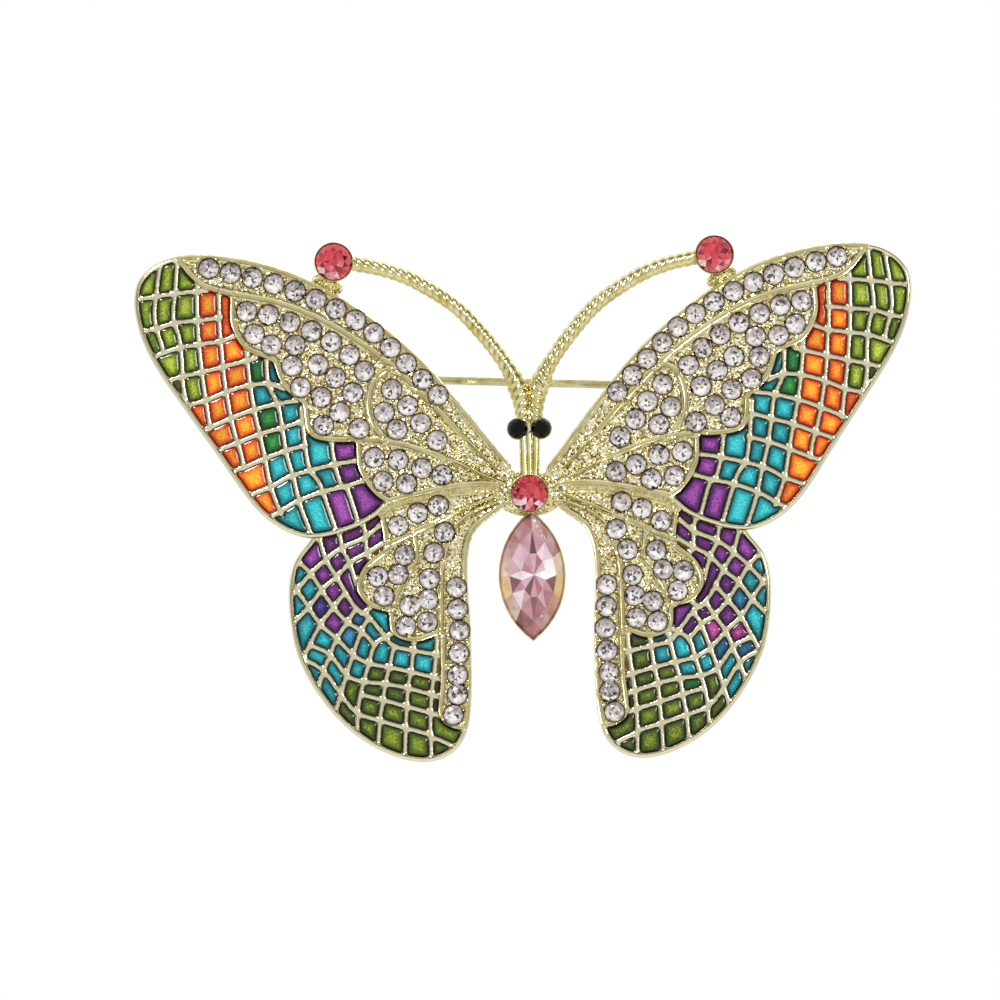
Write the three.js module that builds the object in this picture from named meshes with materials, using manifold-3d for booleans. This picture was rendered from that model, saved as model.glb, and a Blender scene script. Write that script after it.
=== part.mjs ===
// Butterfly brooch with pave crystals, enamel cells and a hinged pin with a roll-over catch.
// Millimetres, +Z up, front faces -Y. The origin is the middle of the pin stem.
import * as THREE from 'three';
import Module from 'manifold-3d';
import { mergeVertices } from 'three/addons/utils/BufferGeometryUtils.js';

const wasm = await Module();
wasm.setup();

// ---- Driving dimensions ----

const BACK_Y = -4.1; // plane of the hindwings' flat back; depth w is counted forward from it
const GAP = 0.06; // between pieces that are soldered or set together
const WING_TURN = THREE.MathUtils.degToRad(1.1); // wings are drawn a little low and turned up
const WING_SHIFT = -0.15; // both wings towards the body
const WING_WIDTH = { left: 1, right: 0.98 }; // the right wings are slightly narrower
const SIGN = { left: -1, right: 1 };

// Depths in front of the back plane
const HIND = { back: 0, floor: 0.9, rim: 1.5, bed: 1.6 };
const FORE = { back: 1.0, floor: 1.7, rim: 2.4, bed: 2.5 };
const ENAMEL_THICK = 0.45;
const RIM_WIDTH = 0.5;

// Stones
const CRYSTAL = { girdle: 0.95, table: 0.56, height: 0.7, sides: 6 };
const WEB = { width: 0.5, thick: 0.14 };
const CHATON = { radius: 1.68, table: 1.0, height: 1.05, wall: 0.25, sides: 16 };
const EYE = { x: 1.07, z: -4.4, radius: 0.97, back: 2.3, front: 3.3 };
const HEAD_BACK = 0.8;
const BODY_STEM = { half: 0.95, front: 3.0, clearHalf: 1.3, middle: -8.6, halfLength: 3.6 };
const THORAX = { x: -0.1, z: -10.4, cupBack: 0.7, cupFront: 3.3 };
const NAVETTE = { top: -12.1, bottom: -24.0, half: 3.02, wall: 0.3, back: 0.6, front: 2.9, crown: 4.0 };

// Antennae
const ROPE_RADIUS = 0.6;
const ROPE_DEPTH = 2.0;
const ROPE_SIDES = 8;
const ROPE_STEPS = 26;
const ANTENNA_STONE = { x: 18.13, z: 11.0, cupBack: 1.5, cupFront: 2.7 };

// Pin: the stem lies behind the wings, a little lower at the catch
const PIN_TILT = THREE.MathUtils.degToRad(2.6);
const PIN = { joint: -15.3, catch: 14.8, tip: 16.7, taper: 3.0, radius: 0.4, point: 0.06, sides: 12 };
const EYELET = { centre: 0.92, steps: 16, sides: 8 };
const BRACKET = { halfGap: 0.5, ear: 0.5, halfWidth: 1.4, base: 0.5, hole: 0.5, foot: 1.9 };
const RIVET = { radius: 0.43, head: 0.75, headThick: 0.35, sides: 16 };
const CATCH = { bore: 1.22, outer: 1.7, half: 1.6, slot: 1.1, footHalf: 0.7, plate: 0.5, plateHalf: 1.9 };
const WINDOW = { half: 0.62, from: -10, to: 145 }; // opening for the lever, in degrees from straight up
const ROLLER = { bore: 0.56, outer: 1.12, half: 1.45, slot: 1.0 };
const LEVER = { angle: 20, half: 0.4, thick: 0.5, reach: 2.9 };

// ---- Outlines, drawn for one side as [outwards, up] ----

const FOREWING_EDGE = [
  [1.4, -8.4], [2.8, -6.5], [6.5, -2.0], [10.2, 2.2], [14.8, 6.0], [20.4, 9.4], [25.9, 11.2],
  [31.0, 11.7], [34.2, 11.1], [36.4, 9.1], [36.5, 5.8], [35.0, 1.9], [32.1, -2.4], [28.6, -7.3],
  [25.3, -11.9], [22.8, -13.8], [20.2, -14.6], [16.7, -13.8], [14.3, -12.6], [12.9, -11.3],
  [10.4, -10.7], [6.8, -9.9], [3.1, -9.8], [1.7, -10.1],
];
const HINDWING_EDGE = [
  [20.4, -14.8], [21.8, -16.6], [22.4, -19.6], [21.7, -24.9], [19.9, -28.6], [17.3, -31.8],
  [14.3, -34.0], [10.4, -35.3], [7.7, -34.8], [6.0, -33.0], [5.4, -29.5], [5.4, -25.8],
  [5.5, -22.1], [5.8, -17.0], [5.1, -13.8], [3.0, -12.2], [1.9, -10.6], [3.5, -8.6], [8.0, -8.0],
  [13.5, -8.8], [18.0, -11.5],
];

// Edge of the grained bed along the enamel field, with a cusp between the scallops
const FORE_BED_SCALLOPS = [
  [[32.9, 11.9], [32.1, 10.3], [30.3, 8.6], [27.7, 7.8]],
  [[27.7, 7.8], [27.7, 5.2], [26.4, 2.9], [23.8, 1.8]],
  [[23.8, 1.8], [22.9, -0.5], [21.0, -2.2]],
  [[21.0, -2.2], [20.4, -5.1], [17.6, -5.7], [16.1, -5.6]],
  [[16.1, -5.6], [15.9, -8.2], [14.3, -10.6], [12.6, -11.6]],
];
const FORE_BED_ROOT = [
  [6.8, -10.2], [3.1, -10.2], [1.0, -10.6], [1.0, -8.4], [6.5, -1.0], [14.8, 7.0], [24.0, 12.0],
];
const HIND_BED_SCALLOPS = [
  [[14.2, -11.5], [13.7, -13.8], [13.5, -15.5]],
  [[13.5, -15.5], [15.4, -17.1], [16.1, -19.2], [14.9, -20.9], [13.1, -21.4]],
  [[13.1, -21.4], [12.8, -23.4], [10.6, -24.2], [8.3, -23.4]],
  [[8.3, -23.4], [8.3, -27.7], [8.4, -31.2], [6.7, -32.3], [4.8, -32.0]],
];
const HIND_BED_ROOT = [[4.8, -14.0], [1.0, -12.0], [2.5, -8.0]];

// Lines that part one colour of enamel from the next, each run past the field's edges
const FOREWING_ZONES = {
  green: [
    [31.2, 13], [30.75, 3.3], [30.3, -1.9], [33.5, -2.4], [40, 0], [40, 13],
  ],
  orange: [
    [30.75, 13], [30.3, 3.3], [29.85, -2.3], [33.5, -2.8], [40, -2.8], [30, -14], [24.4, -13.2],
    [23.2, -12.2], [24.3, -8.7], [25.5, -2.9], [26.15, -0.4], [26.5, 3.6], [27.5, 13],
  ],
  teal: [
    [26.05, 4], [25.7, -0.4], [25.05, -2.9], [23.8, -8.7], [22.7, -12.4], [24.5, -14], [23, -17],
    [17.9, -17], [17.9, -13.8], [19.1, -10.1], [17.75, -9.5], [17.9, -7.8], [18.4, -4.5], [22, 4],
  ],
  purple: [
    [17.95, -4.5], [17.45, -7.8], [17.2, -9.8], [18.6, -10.3], [17.4, -13.8], [17.4, -17],
    [10, -14], [13, -4.5],
  ],
};
const HINDWING_ZONES = {
  purple: [
    [12, -10], [26, -10], [26, -16.7], [21.3, -16.7], [20.1, -17.8], [19.4, -19.2], [20.3, -20.9],
    [19.1, -22.5], [18.2, -23.8], [17.1, -22.4], [16.2, -20.8], [14.5, -20.3], [12, -20.5],
  ],
  teal: [
    [26, -17.1], [21.5, -17.1], [20.5, -18.0], [19.85, -19.2], [20.7, -20.9], [19.4, -22.8],
    [18.3, -24.3], [16.8, -22.7], [15.9, -21.1], [14.5, -20.7], [12, -21], [7.5, -22.3],
    [7.5, -27.15], [8.9, -27.15], [12.9, -26.3], [14.9, -25.9], [15.5, -27.5], [17.2, -26.95],
    [17.7, -29], [18.4, -31.2], [19.5, -33], [26, -34],
  ],
  olive: [
    [7.5, -27.55], [8.9, -27.55], [12.9, -26.7], [14.6, -26.35], [15.2, -28.0], [16.85, -27.5],
    [17.3, -29], [18.0, -31.3], [19, -33], [16, -38], [3, -38], [3, -31.0], [7.5, -31.0],
  ],
};

// ---- Pave: centres of the crystals in each panel, in setting order ----

const FORE_ROW_A = [
  [29.7, 10.4], [25.6, 9.5], [21.7, 8.3], [18.0, 6.7], [14.5, 4.5], [11.3, 1.5], [8.5, -1.3],
];
const FORE_ROW_A_COUNT = 13;
const FORE_PANELS = {
  b: [[26.2, 6.4], [24.2, 6.1], [22.2, 5.4], [20.2, 4.6], [18.4, 3.6], [16.7, 2.4], [15.3, 0.9],
    [16.4, -1.1], [18.0, 0.3], [19.6, 1.5], [21.7, 3.3], [23.9, 3.3], [25.5, 4.3],
    [22.0, 1.4], [21.2, -0.6], [19.3, -1.5], [17.6, -2.9], [19.1, -4.1], [15.8, -4.4]],
  c: [[12.8, -0.8], [13.5, -2.9], [11.3, -2.3], [12.3, -4.5], [10.1, -3.9], [8.6, -5.5]],
  d: [[14.4, -7.1], [12.2, -7.3], [10.0, -8.1], [8.1, -8.7], [11.4, -9.5], [13.6, -9.3]],
};
const HIND_PANELS = {
  e: [[8.5, -11.5], [10.4, -12.2], [12.2, -13.4]],
  f_outer: [[11.6, -16.1], [12.2, -17.9], [14.1, -18.1], [13.5, -19.9]],
  f_inner: [
    [7.9, -14.0], [8.9, -15.9], [9.3, -18.3], [9.4, -20.2], [11.1, -20.8], [11.5, -22.7], [9.5, -22.3],
  ],
  g: [[6.8, -19.1], [6.7, -21.1], [6.5, -23.1], [6.6, -25.2], [6.7, -27.2], [6.7, -29.0], [7.1, -30.9]],
};

const ANTENNA_PATH = [
  [0.7, -1.2], [1.4, 0.0], [2.2, 1.5], [4.1, 4.0], [6.9, 6.9], [10.6, 9.2], [13.5, 10.3], [16.6, 10.9],
];
const HEAD_EDGE = [
  [0.3, -0.4], [1.0, -0.1], [1.8, -0.2], [1.6, -1.5], [1.25, -2.9], [1.5, -3.5], [2.1, -4.4],
  [1.6, -5.3], [1.0, -5.8], [1.0, -8.4],
];

// ---- Materials ----

const FINISHES = {
  gold: { color: 0xcfbd6c, roughness: 0.3, metalness: 1 },
  steel: { color: 0xb9b6ac, roughness: 0.3, metalness: 1 },
  crystal: { color: 0xd5cdd2, roughness: 0.05, metalness: 0.1 },
  rose: { color: 0xd0405a, roughness: 0.05, metalness: 0.1 },
  pink: { color: 0xd8a8b8, roughness: 0.05, metalness: 0.1 },
  black: { color: 0x101014, roughness: 0.1, metalness: 0 },
  green: { color: 0x8fae34, roughness: 0.15, metalness: 0.1 },
  orange: { color: 0xf07a20, roughness: 0.15, metalness: 0.1 },
  teal: { color: 0x109aa6, roughness: 0.15, metalness: 0.1 },
  purple: { color: 0x752a7c, roughness: 0.15, metalness: 0.1 },
  olive: { color: 0x566a14, roughness: 0.15, metalness: 0.1 },
};

const group = new THREE.Group();

function add(name, geometry, finish) {
  const material = new THREE.MeshStandardMaterial(FINISHES[finish]);
  const mesh = new THREE.Mesh(geometry, material);
  mesh.name = name;
  group.add(mesh);
  return mesh;
}

// ---- Solids: join and cut ----

function toSolid(geometry) {
  const bare = geometry.clone();
  bare.deleteAttribute('normal');
  bare.deleteAttribute('uv');
  const merged = mergeVertices(bare, 1e-5);
  const vertProperties = new Float32Array(merged.attributes.position.array);
  const triVerts = new Uint32Array(merged.index.array);
  return new wasm.Manifold(new wasm.Mesh({ numProp: 3, vertProperties, triVerts }));
}

function toGeometry(solid) {
  const mesh = solid.getMesh();
  const geometry = new THREE.BufferGeometry();
  geometry.setAttribute('position', new THREE.BufferAttribute(mesh.vertProperties, 3));
  geometry.setIndex(new THREE.BufferAttribute(mesh.triVerts, 1));
  geometry.computeVertexNormals();
  return geometry;
}

function join(solids) {
  return solids.reduce((whole, solid) => whole.add(solid));
}

// ---- Flat shapes ----

// A point drawn as [outwards, up] on the given side, as seen from the front
function wingPoint(side, [out, up]) {
  const turnedOut = out * Math.cos(WING_TURN) - up * Math.sin(WING_TURN) + WING_SHIFT;
  const turnedUp = out * Math.sin(WING_TURN) + up * Math.cos(WING_TURN);
  return new THREE.Vector2(SIGN[side] * WING_WIDTH[side] * turnedOut, turnedUp);
}

function wingPoints(side, points) {
  return points.map((point) => wingPoint(side, point));
}

// Points along a smooth curve through the given ones; an open one keeps its ends
function smooth(points, perSpan, closed = false) {
  const spatial = points.map(([x, z]) => new THREE.Vector3(x, z, 0));
  const curve = new THREE.CatmullRomCurve3(spatial, closed, 'centripetal');
  const count = perSpan * (closed ? points.length : points.length - 1);
  const result = curve.getPoints(count).map((point) => [point.x, point.y]);
  return closed ? result.slice(0, -1) : result;
}

// Scalloped line: each scallop is smooth, and the cusps between them stay sharp
function scalloped(scallops, perSpan) {
  return scallops.flatMap((scallop, index) => smooth(scallop, perSpan).slice(index === 0 ? 0 : 1));
}

// The outline moved inwards (or outwards, if the distance is negative)
function inset(points, distance) {
  const area = THREE.ShapeUtils.area(points);
  const turn = Math.sign(area);
  return points.map((point, index) => {
    const before = points[(index + points.length - 1) % points.length];
    const after = points[(index + 1) % points.length];
    const along = after.clone().sub(before).normalize();
    return new THREE.Vector2(point.x - turn * along.y * distance, point.y + turn * along.x * distance);
  });
}

function rectangle(x, z, halfWidth, halfHeight) {
  const corners = [[-1, -1], [1, -1], [1, 1], [-1, 1]];
  return corners.map(([right, up]) => new THREE.Vector2(x + right * halfWidth, z + up * halfHeight));
}

// A flat outline in X and Z, made solid from depth w = back to w = front
function plate(points, back, front) {
  const settings = { depth: front - back, bevelEnabled: false };
  const geometry = new THREE.ExtrudeGeometry(new THREE.Shape(points), settings);
  geometry.rotateX(Math.PI / 2);
  geometry.translate(0, BACK_Y - back, 0);
  return toSolid(geometry);
}

// A round body turned about the Y direction, from [radius, depth w] pairs in order of depth
function turned(profile, x, z, sides) {
  const points = profile.map(([radius, depth]) => new THREE.Vector2(radius, depth));
  const geometry = new THREE.LatheGeometry(points, sides);
  geometry.rotateX(Math.PI);
  geometry.translate(x, BACK_Y, z);
  return toSolid(geometry);
}

// ---- Wings ----

function wingOutline(side, edge, perSpan) {
  return wingPoints(side, smooth(edge, perSpan, true));
}

function bedOutline(side, scallops, root) {
  return wingPoints(side, [...scalloped(scallops, 3), ...root]);
}

// Parts that the wings are cut clear of: the stem and the cup of the body
function bodyClearance() {
  const stem = rectangle(0, BODY_STEM.middle, BODY_STEM.clearHalf, BODY_STEM.halfLength);
  const cupRadius = CHATON.radius + CHATON.wall + GAP;
  const cup = turned([[0, 0.3], [cupRadius, 0.3], [cupRadius, 5], [0, 5]], THORAX.x, THORAX.z, 24);
  const abdomen = plate(inset(navetteOutline(), -NAVETTE.wall - GAP), 0.3, 5);
  return join([plate(stem, 0.3, 5), cup, abdomen]);
}

function rim(outline, level) {
  return plate(outline, level.floor, level.rim).subtract(plate(inset(outline, RIM_WIDTH), 0, 5));
}

function castWing(outline, bed, level) {
  const base = plate(outline, level.back, level.floor);
  const raisedBed = plate(bed, level.floor, level.bed).intersect(plate(outline, level.floor, level.bed));
  return join([base, rim(outline, level), raisedBed]);
}

function addWings(side) {
  const foreOutline = wingOutline(side, FOREWING_EDGE, 2);
  const foreBed = bedOutline(side, FORE_BED_SCALLOPS, FORE_BED_ROOT);
  const hindOutline = wingOutline(side, HINDWING_EDGE, 2);
  const hindBed = bedOutline(side, HIND_BED_SCALLOPS, HIND_BED_ROOT);
  const clearance = bodyClearance();
  const overlap = plate(inset(foreOutline, -GAP), HIND.floor, 5);

  const forewing = castWing(foreOutline, foreBed, FORE).subtract(clearance);
  const hindwing = castWing(hindOutline, hindBed, HIND).subtract(overlap).subtract(clearance);
  add(`forewing_plate_${side}`, toGeometry(forewing), 'gold');
  add(`hindwing_plate_${side}`, toGeometry(hindwing), 'gold');
  addEnamel(side, 'forewing', foreOutline, foreBed, FORE, FOREWING_ZONES, null);
  addEnamel(side, 'hindwing', hindOutline, hindBed, HIND, HINDWING_ZONES, overlap);
}

// One slab of enamel for each colour, in the recess between the rim and the bed
function addEnamel(side, wing, outline, bed, level, zones, covered) {
  const back = level.floor + GAP;
  const front = back + ENAMEL_THICK;
  let field = plate(inset(outline, RIM_WIDTH + GAP), back, front).subtract(plate(inset(bed, -GAP), 0, 5));
  if (covered) {
    field = field.subtract(covered);
  }
  for (const [colour, zone] of Object.entries(zones)) {
    const slab = field.intersect(plate(wingPoints(side, zone), 0, 5));
    add(`${wing}_enamel_${colour}_${side}`, toGeometry(slab), colour);
  }
}

// ---- Pave ----

function evenlySpaced(points, count) {
  const spatial = points.map(([x, z]) => new THREE.Vector3(x, z, 0));
  const curve = new THREE.CatmullRomCurve3(spatial, false, 'centripetal');
  return curve.getSpacedPoints(count - 1).map((point) => [point.x, point.y]);
}

function crystal(centre, back) {
  const { girdle, table, height, sides } = CRYSTAL;
  const profile = [[0, back], [girdle, back], [table, back + height], [0, back + height]];
  return turned(profile, centre.x, centre.y, sides);
}

// The bar of the setting between two neighbouring crystals
function settingBar(from, to, back) {
  const along = to.clone().sub(from).normalize();
  const across = new THREE.Vector2(-along.y, along.x).multiplyScalar(WEB.width / 2);
  const corners = [
    from.clone().add(across), from.clone().sub(across), to.clone().sub(across), to.clone().add(across),
  ];
  return plate(corners, back, back + WEB.thick);
}

function addPanel(side, name, points, level) {
  const centres = wingPoints(side, points);
  const back = level.bed + GAP;
  const crystals = centres.map((centre) => crystal(centre, back));
  const bars = centres.slice(1).map((centre, index) => settingBar(centres[index], centre, back));
  add(`${name}_${side}`, toGeometry(join([...crystals, ...bars])), 'crystal');
}

function addPave(side) {
  addPanel(side, 'pave_a', evenlySpaced(FORE_ROW_A, FORE_ROW_A_COUNT), FORE);
  for (const [panel, points] of Object.entries(FORE_PANELS)) {
    addPanel(side, `pave_${panel}`, points, FORE);
  }
  for (const [panel, points] of Object.entries(HIND_PANELS)) {
    addPanel(side, `pave_${panel}`, points, HIND);
  }
}

// ---- Body ----

function addChaton(name, x, z, cupFront, finish) {
  const { radius, table, height, sides } = CHATON;
  const back = cupFront + GAP;
  const top = back + height;
  const profile = [[0, back], [radius, back], [radius, back + 0.2], [table, top], [0, top]];
  add(name, toGeometry(turned(profile, x, z, sides)), finish);
}

function cup(x, z, back, front) {
  const outer = CHATON.radius + CHATON.wall;
  return turned([[0, back], [outer * 0.8, back], [outer, front], [0, front]], x, z, CHATON.sides);
}

function headOutline() {
  const half = smooth(HEAD_EDGE, 2);
  const right = half.map(([x, z]) => new THREE.Vector2(x, z));
  const left = half.map(([x, z]) => new THREE.Vector2(-x, z)).reverse();
  return [...right, ...left];
}

function addBody() {
  const spine = plate(headOutline(), HEAD_BACK, EYE.back);
  const stem = plate(rectangle(0, -7.5, BODY_STEM.half, 2), HEAD_BACK, BODY_STEM.front);
  const thoraxCup = cup(THORAX.x, THORAX.z, THORAX.cupBack, THORAX.cupFront);
  const abdomen = plate(inset(navetteOutline(), -NAVETTE.wall - GAP), 0, 6);
  add('body_casting', toGeometry(join([spine, stem, thoraxCup]).subtract(abdomen)), 'gold');
  addChaton('thorax_stone', THORAX.x, THORAX.z, THORAX.cupFront, 'rose');

  for (const [side, sign] of Object.entries(SIGN)) {
    const { radius, back, front } = EYE;
    const profile = [
      [0, back + GAP], [radius, back + GAP], [radius, back + 0.5], [radius * 0.6, front], [0, front],
    ];
    add(`eye_stone_${side}`, toGeometry(turned(profile, sign * EYE.x, EYE.z, CHATON.sides)), 'black');
  }
}

// Pointed oval, from two arcs
function navetteOutline() {
  const { top, bottom, half } = NAVETTE;
  const halfLength = (top - bottom) / 2;
  const middle = (top + bottom) / 2;
  const radius = (halfLength ** 2 + half ** 2) / (2 * half);
  const spread = Math.asin(halfLength / radius);
  const steps = 10;
  const points = [];
  for (const sign of [1, -1]) {
    for (let step = 0; step < steps; step += 1) {
      const angle = -spread + (2 * spread * step) / steps;
      points.push(new THREE.Vector2(
        sign * (radius * Math.cos(angle) - radius + half),
        middle + sign * radius * Math.sin(angle),
      ));
    }
  }
  return points;
}

function addAbdomen() {
  const outline = navetteOutline();
  const { wall, back, front, crown } = NAVETTE;
  const hollow = plate(inset(outline, -GAP), back + 0.5, 6);
  const tray = plate(inset(outline, -wall), back, front).subtract(hollow);
  add('abdomen_setting', toGeometry(tray), 'gold');
  const girdle = plate(outline, back + 0.5 + GAP, front);
  const table = plate(inset(outline, 1.1), front, crown);
  add('abdomen_stone', toGeometry(girdle.add(table)), 'pink');
}

// ---- Antennae ----

function addAntenna(side) {
  const places = wingPoints(side, ANTENNA_PATH);
  const route = places.map(({ x, y }) => new THREE.Vector3(x, BACK_Y - ROPE_DEPTH, y));
  const curve = new THREE.CatmullRomCurve3(route, false, 'centripetal');
  const section = new THREE.Shape();
  section.absarc(0, 0, ROPE_RADIUS, 0, 2 * Math.PI);
  const settings = { steps: ROPE_STEPS, extrudePath: curve, curveSegments: ROPE_SIDES / 2 };
  const rope = toSolid(new THREE.ExtrudeGeometry(section, settings));
  const stone = wingPoint(side, [ANTENNA_STONE.x, ANTENNA_STONE.z]);
  const { cupBack, cupFront } = ANTENNA_STONE;
  const foot = plate(rectangle(stone.x, stone.y - 1.6, 0.7, 1.6), cupBack, cupFront - 0.5);
  const wing = plate(inset(wingOutline(side, FOREWING_EDGE, 2), -GAP), 0, 6);
  const setting = cup(stone.x, stone.y, cupBack, cupFront).add(foot).subtract(wing);
  const reach = CHATON.radius + CHATON.wall + GAP;
  const cupSpace = turned([[0, 0], [reach, 0], [reach, 5], [0, 5]], stone.x, stone.y, 24);
  const headSpace = plate(inset(headOutline(), -GAP), 0, 6);
  add(`antenna_${side}`, toGeometry(rope.subtract(cupSpace).subtract(headSpace)), 'gold');
  add(`antenna_cup_${side}`, toGeometry(setting), 'gold');
  addChaton(`antenna_stone_${side}`, stone.x, stone.y, cupFront, 'rose');
}

// ---- Pin ----

// Pin parts are made along +X with the stem on the axis, then tilted into place
function placeOnPin(solid, x) {
  const geometry = toGeometry(solid);
  geometry.rotateY(PIN_TILT);
  geometry.translate(x * Math.cos(PIN_TILT), 0, -x * Math.sin(PIN_TILT));
  return geometry;
}

function box(width, depth, height, x, y, z) {
  const geometry = new THREE.BoxGeometry(width, depth, height);
  geometry.translate(x, y, z);
  return toSolid(geometry);
}

// A tube along X with a slot towards +Y
function slottedTube(bore, outer, half, slot) {
  const profile = [[bore, -half], [outer, -half], [outer, half], [bore, half], [bore, -half]];
  const geometry = new THREE.LatheGeometry(profile.map(([r, x]) => new THREE.Vector2(r, x)), 24);
  geometry.rotateZ(-Math.PI / 2);
  return toSolid(geometry).subtract(box(4 * half, 2 * outer, slot, 0, outer, 0));
}

function addPinStem() {
  const length = PIN.tip - PIN.joint;
  const shoulder = length - PIN.taper;
  const profile = [[0, 0], [PIN.radius, 0], [PIN.radius, shoulder], [PIN.point, length], [0, length]];
  const start = EYELET.centre;
  const wire = new THREE.LatheGeometry(
    profile.map(([r, x]) => new THREE.Vector2(r, Math.max(x, start))),
    PIN.sides,
  );
  wire.rotateZ(-Math.PI / 2);
  const eyelet = new THREE.TorusGeometry(EYELET.centre, PIN.radius, EYELET.sides, EYELET.steps);
  add('pin_stem', placeOnPin(toSolid(wire).add(toSolid(eyelet)), PIN.joint), 'steel');
}

function addJoint() {
  const wingBack = BACK_Y - FORE.back;
  const { halfGap, ear, halfWidth, base, hole, foot } = BRACKET;
  const outline = new THREE.Shape();
  outline.moveTo(-halfWidth, wingBack + GAP);
  outline.lineTo(halfWidth, wingBack + GAP);
  outline.lineTo(halfWidth, 0);
  outline.absarc(0, 0, halfWidth, 0, Math.PI);
  outline.holes.push(new THREE.Path().absarc(0, 0, hole, 0, 2 * Math.PI, true));
  const ears = [halfGap, -halfGap - ear].map((z) => {
    const options = { depth: ear, bevelEnabled: false, curveSegments: 12 };
    const geometry = new THREE.ExtrudeGeometry(outline, options);
    geometry.translate(0, 0, z);
    return toSolid(geometry);
  });
  const floor = box(2 * foot, base, 2 * foot, 0, wingBack + GAP + base / 2, 0);
  add('joint_bracket', placeOnPin(join([floor, ...ears]), PIN.joint), 'gold');

  const { radius, head, headThick, sides } = RIVET;
  const end = halfGap + ear + GAP;
  const profile = [[0, -end - headThick], [head, -end - headThick], [head, -end], [radius, -end],
    [radius, end], [head, end], [head, end + headThick], [0, end + headThick]];
  const rivet = new THREE.LatheGeometry(profile.map(([r, z]) => new THREE.Vector2(r, z)), sides);
  rivet.rotateX(Math.PI / 2);
  add('joint_rivet', placeOnPin(toSolid(rivet), PIN.joint), 'steel');
}

// The part of a ring round X between two angles from straight up, turning towards +Y
function sector(half, from, to, reach) {
  const points = [new THREE.Vector2(0, 0)];
  const steps = 8;
  for (let step = 0; step <= steps; step += 1) {
    const angle = THREE.MathUtils.degToRad(from + ((to - from) * step) / steps);
    points.push(new THREE.Vector2(reach * Math.sin(angle), reach * Math.cos(angle)));
  }
  const options = { depth: 2 * half, bevelEnabled: false };
  const geometry = new THREE.ExtrudeGeometry(new THREE.Shape(points), options);
  geometry.translate(0, 0, -half);
  // The drawing's axes (Y, Z) and its depth become the part's Y, Z and X
  geometry.applyMatrix4(new THREE.Matrix4().set(0, 0, 1, 0, 1, 0, 0, 0, 0, 1, 0, 0, 0, 0, 0, 1));
  return toSolid(geometry);
}

function addCatch() {
  const wingBack = BACK_Y - FORE.back + GAP;
  const { bore, outer, half, slot, footHalf, plate: plateThick, plateHalf } = CATCH;
  const tube = slottedTube(bore, outer, half, slot);
  const footTop = -(bore + outer) / 2;
  const foot = box(2 * half, footTop - wingBack, 2 * footHalf, 0, (footTop + wingBack) / 2, 0);
  const floor = box(2 * half, plateThick, 2 * plateHalf, 0, wingBack + plateThick / 2, 0);
  const opening = sector(WINDOW.half, WINDOW.from, WINDOW.to, 2 * outer);
  add('catch_base', placeOnPin(join([tube.subtract(opening), foot, floor]), PIN.catch), 'gold');

  const ring = slottedTube(ROLLER.bore, ROLLER.outer, ROLLER.half, ROLLER.slot);
  const angle = THREE.MathUtils.degToRad(LEVER.angle);
  const tab = new THREE.BoxGeometry(2 * LEVER.half, LEVER.thick, LEVER.reach - ROLLER.bore - 0.15);
  tab.translate(0, 0, (LEVER.reach + ROLLER.bore + 0.15) / 2);
  tab.rotateX(-angle);
  add('catch_roller', placeOnPin(ring.add(toSolid(tab)), PIN.catch), 'gold');
}

for (const side of Object.keys(SIGN)) {
  addWings(side);
  addPave(side);
  addAntenna(side);
}
addBody();
addAbdomen();
addPinStem();
addJoint();
addCatch();

export default group;
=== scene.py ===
import math

import bpy
import numpy as np
from mathutils import Matrix, Vector
from mathutils.geometry import delaunay_2d_cdt


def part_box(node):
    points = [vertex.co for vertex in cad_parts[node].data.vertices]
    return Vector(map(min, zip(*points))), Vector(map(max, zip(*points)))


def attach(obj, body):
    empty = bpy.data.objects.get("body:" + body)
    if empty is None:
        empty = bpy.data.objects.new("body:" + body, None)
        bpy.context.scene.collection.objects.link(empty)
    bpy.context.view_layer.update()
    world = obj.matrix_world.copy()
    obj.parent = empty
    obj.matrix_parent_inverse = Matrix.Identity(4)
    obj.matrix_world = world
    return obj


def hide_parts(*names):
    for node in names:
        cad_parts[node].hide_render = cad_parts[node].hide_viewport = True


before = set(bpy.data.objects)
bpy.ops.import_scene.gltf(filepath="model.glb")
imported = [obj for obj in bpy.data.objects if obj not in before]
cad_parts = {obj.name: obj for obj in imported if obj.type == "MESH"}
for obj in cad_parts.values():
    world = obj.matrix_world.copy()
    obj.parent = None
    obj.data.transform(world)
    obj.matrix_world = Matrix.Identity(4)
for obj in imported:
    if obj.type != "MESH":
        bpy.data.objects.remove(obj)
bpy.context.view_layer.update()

# Butterfly brooch: the looks. Shapes are drawn flat in millimetres as (across, up), and
# depth counts forward, in millimetres, from the flat back of the hindwings.

MM = 0.001
SIDES = {"left": -1, "right": 1}
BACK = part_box("hindwing_plate_left")[1].y / MM
RANDOM = np.random.default_rng(7)

# ---- Depths of the castings ----

FORE = {"back": 1.0, "floor": 1.72, "wall": 2.25, "bed": 2.4, "swell": 0.0}
HIND = {"back": 0.0, "floor": 0.92, "wall": 1.4, "bed": 1.5, "swell": 0.8}
RIM_WIDTH = 0.52
RIM_RISE = 0.14  # of the rim's middle above the walls
RIM_DROP = 0.32  # of the rim's sides below its middle
WALL_DROP = 0.13  # from a wall's middle down to its sides
BORDER_MIDDLE = 0.28  # from the bed's edge to the middle of its raised border
BORDER_START = 2.4  # from the thorax stone to where the border starts to rise
BORDER_FADE = 1.5
RIB_WIDTH = 1.15
RIB_HEIGHT = 1.25  # as a share of the border's
RIB_TAPER = 13  # ribs nearer the thorax stone than this are narrower
GRAIN_HEIGHT = 0.05
LIP_HEIGHT = 0.04  # of the metal round a crystal
LIP_RADIUS = 1.08
BEAD_HEIGHT = 0.14
BEAD_SIZE = 0.12
UNDER_WING = 0.92  # greatest depth of the hindwing where the forewing covers it
UNDER_BODY = 0.25  # and where the body stands on it
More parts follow.
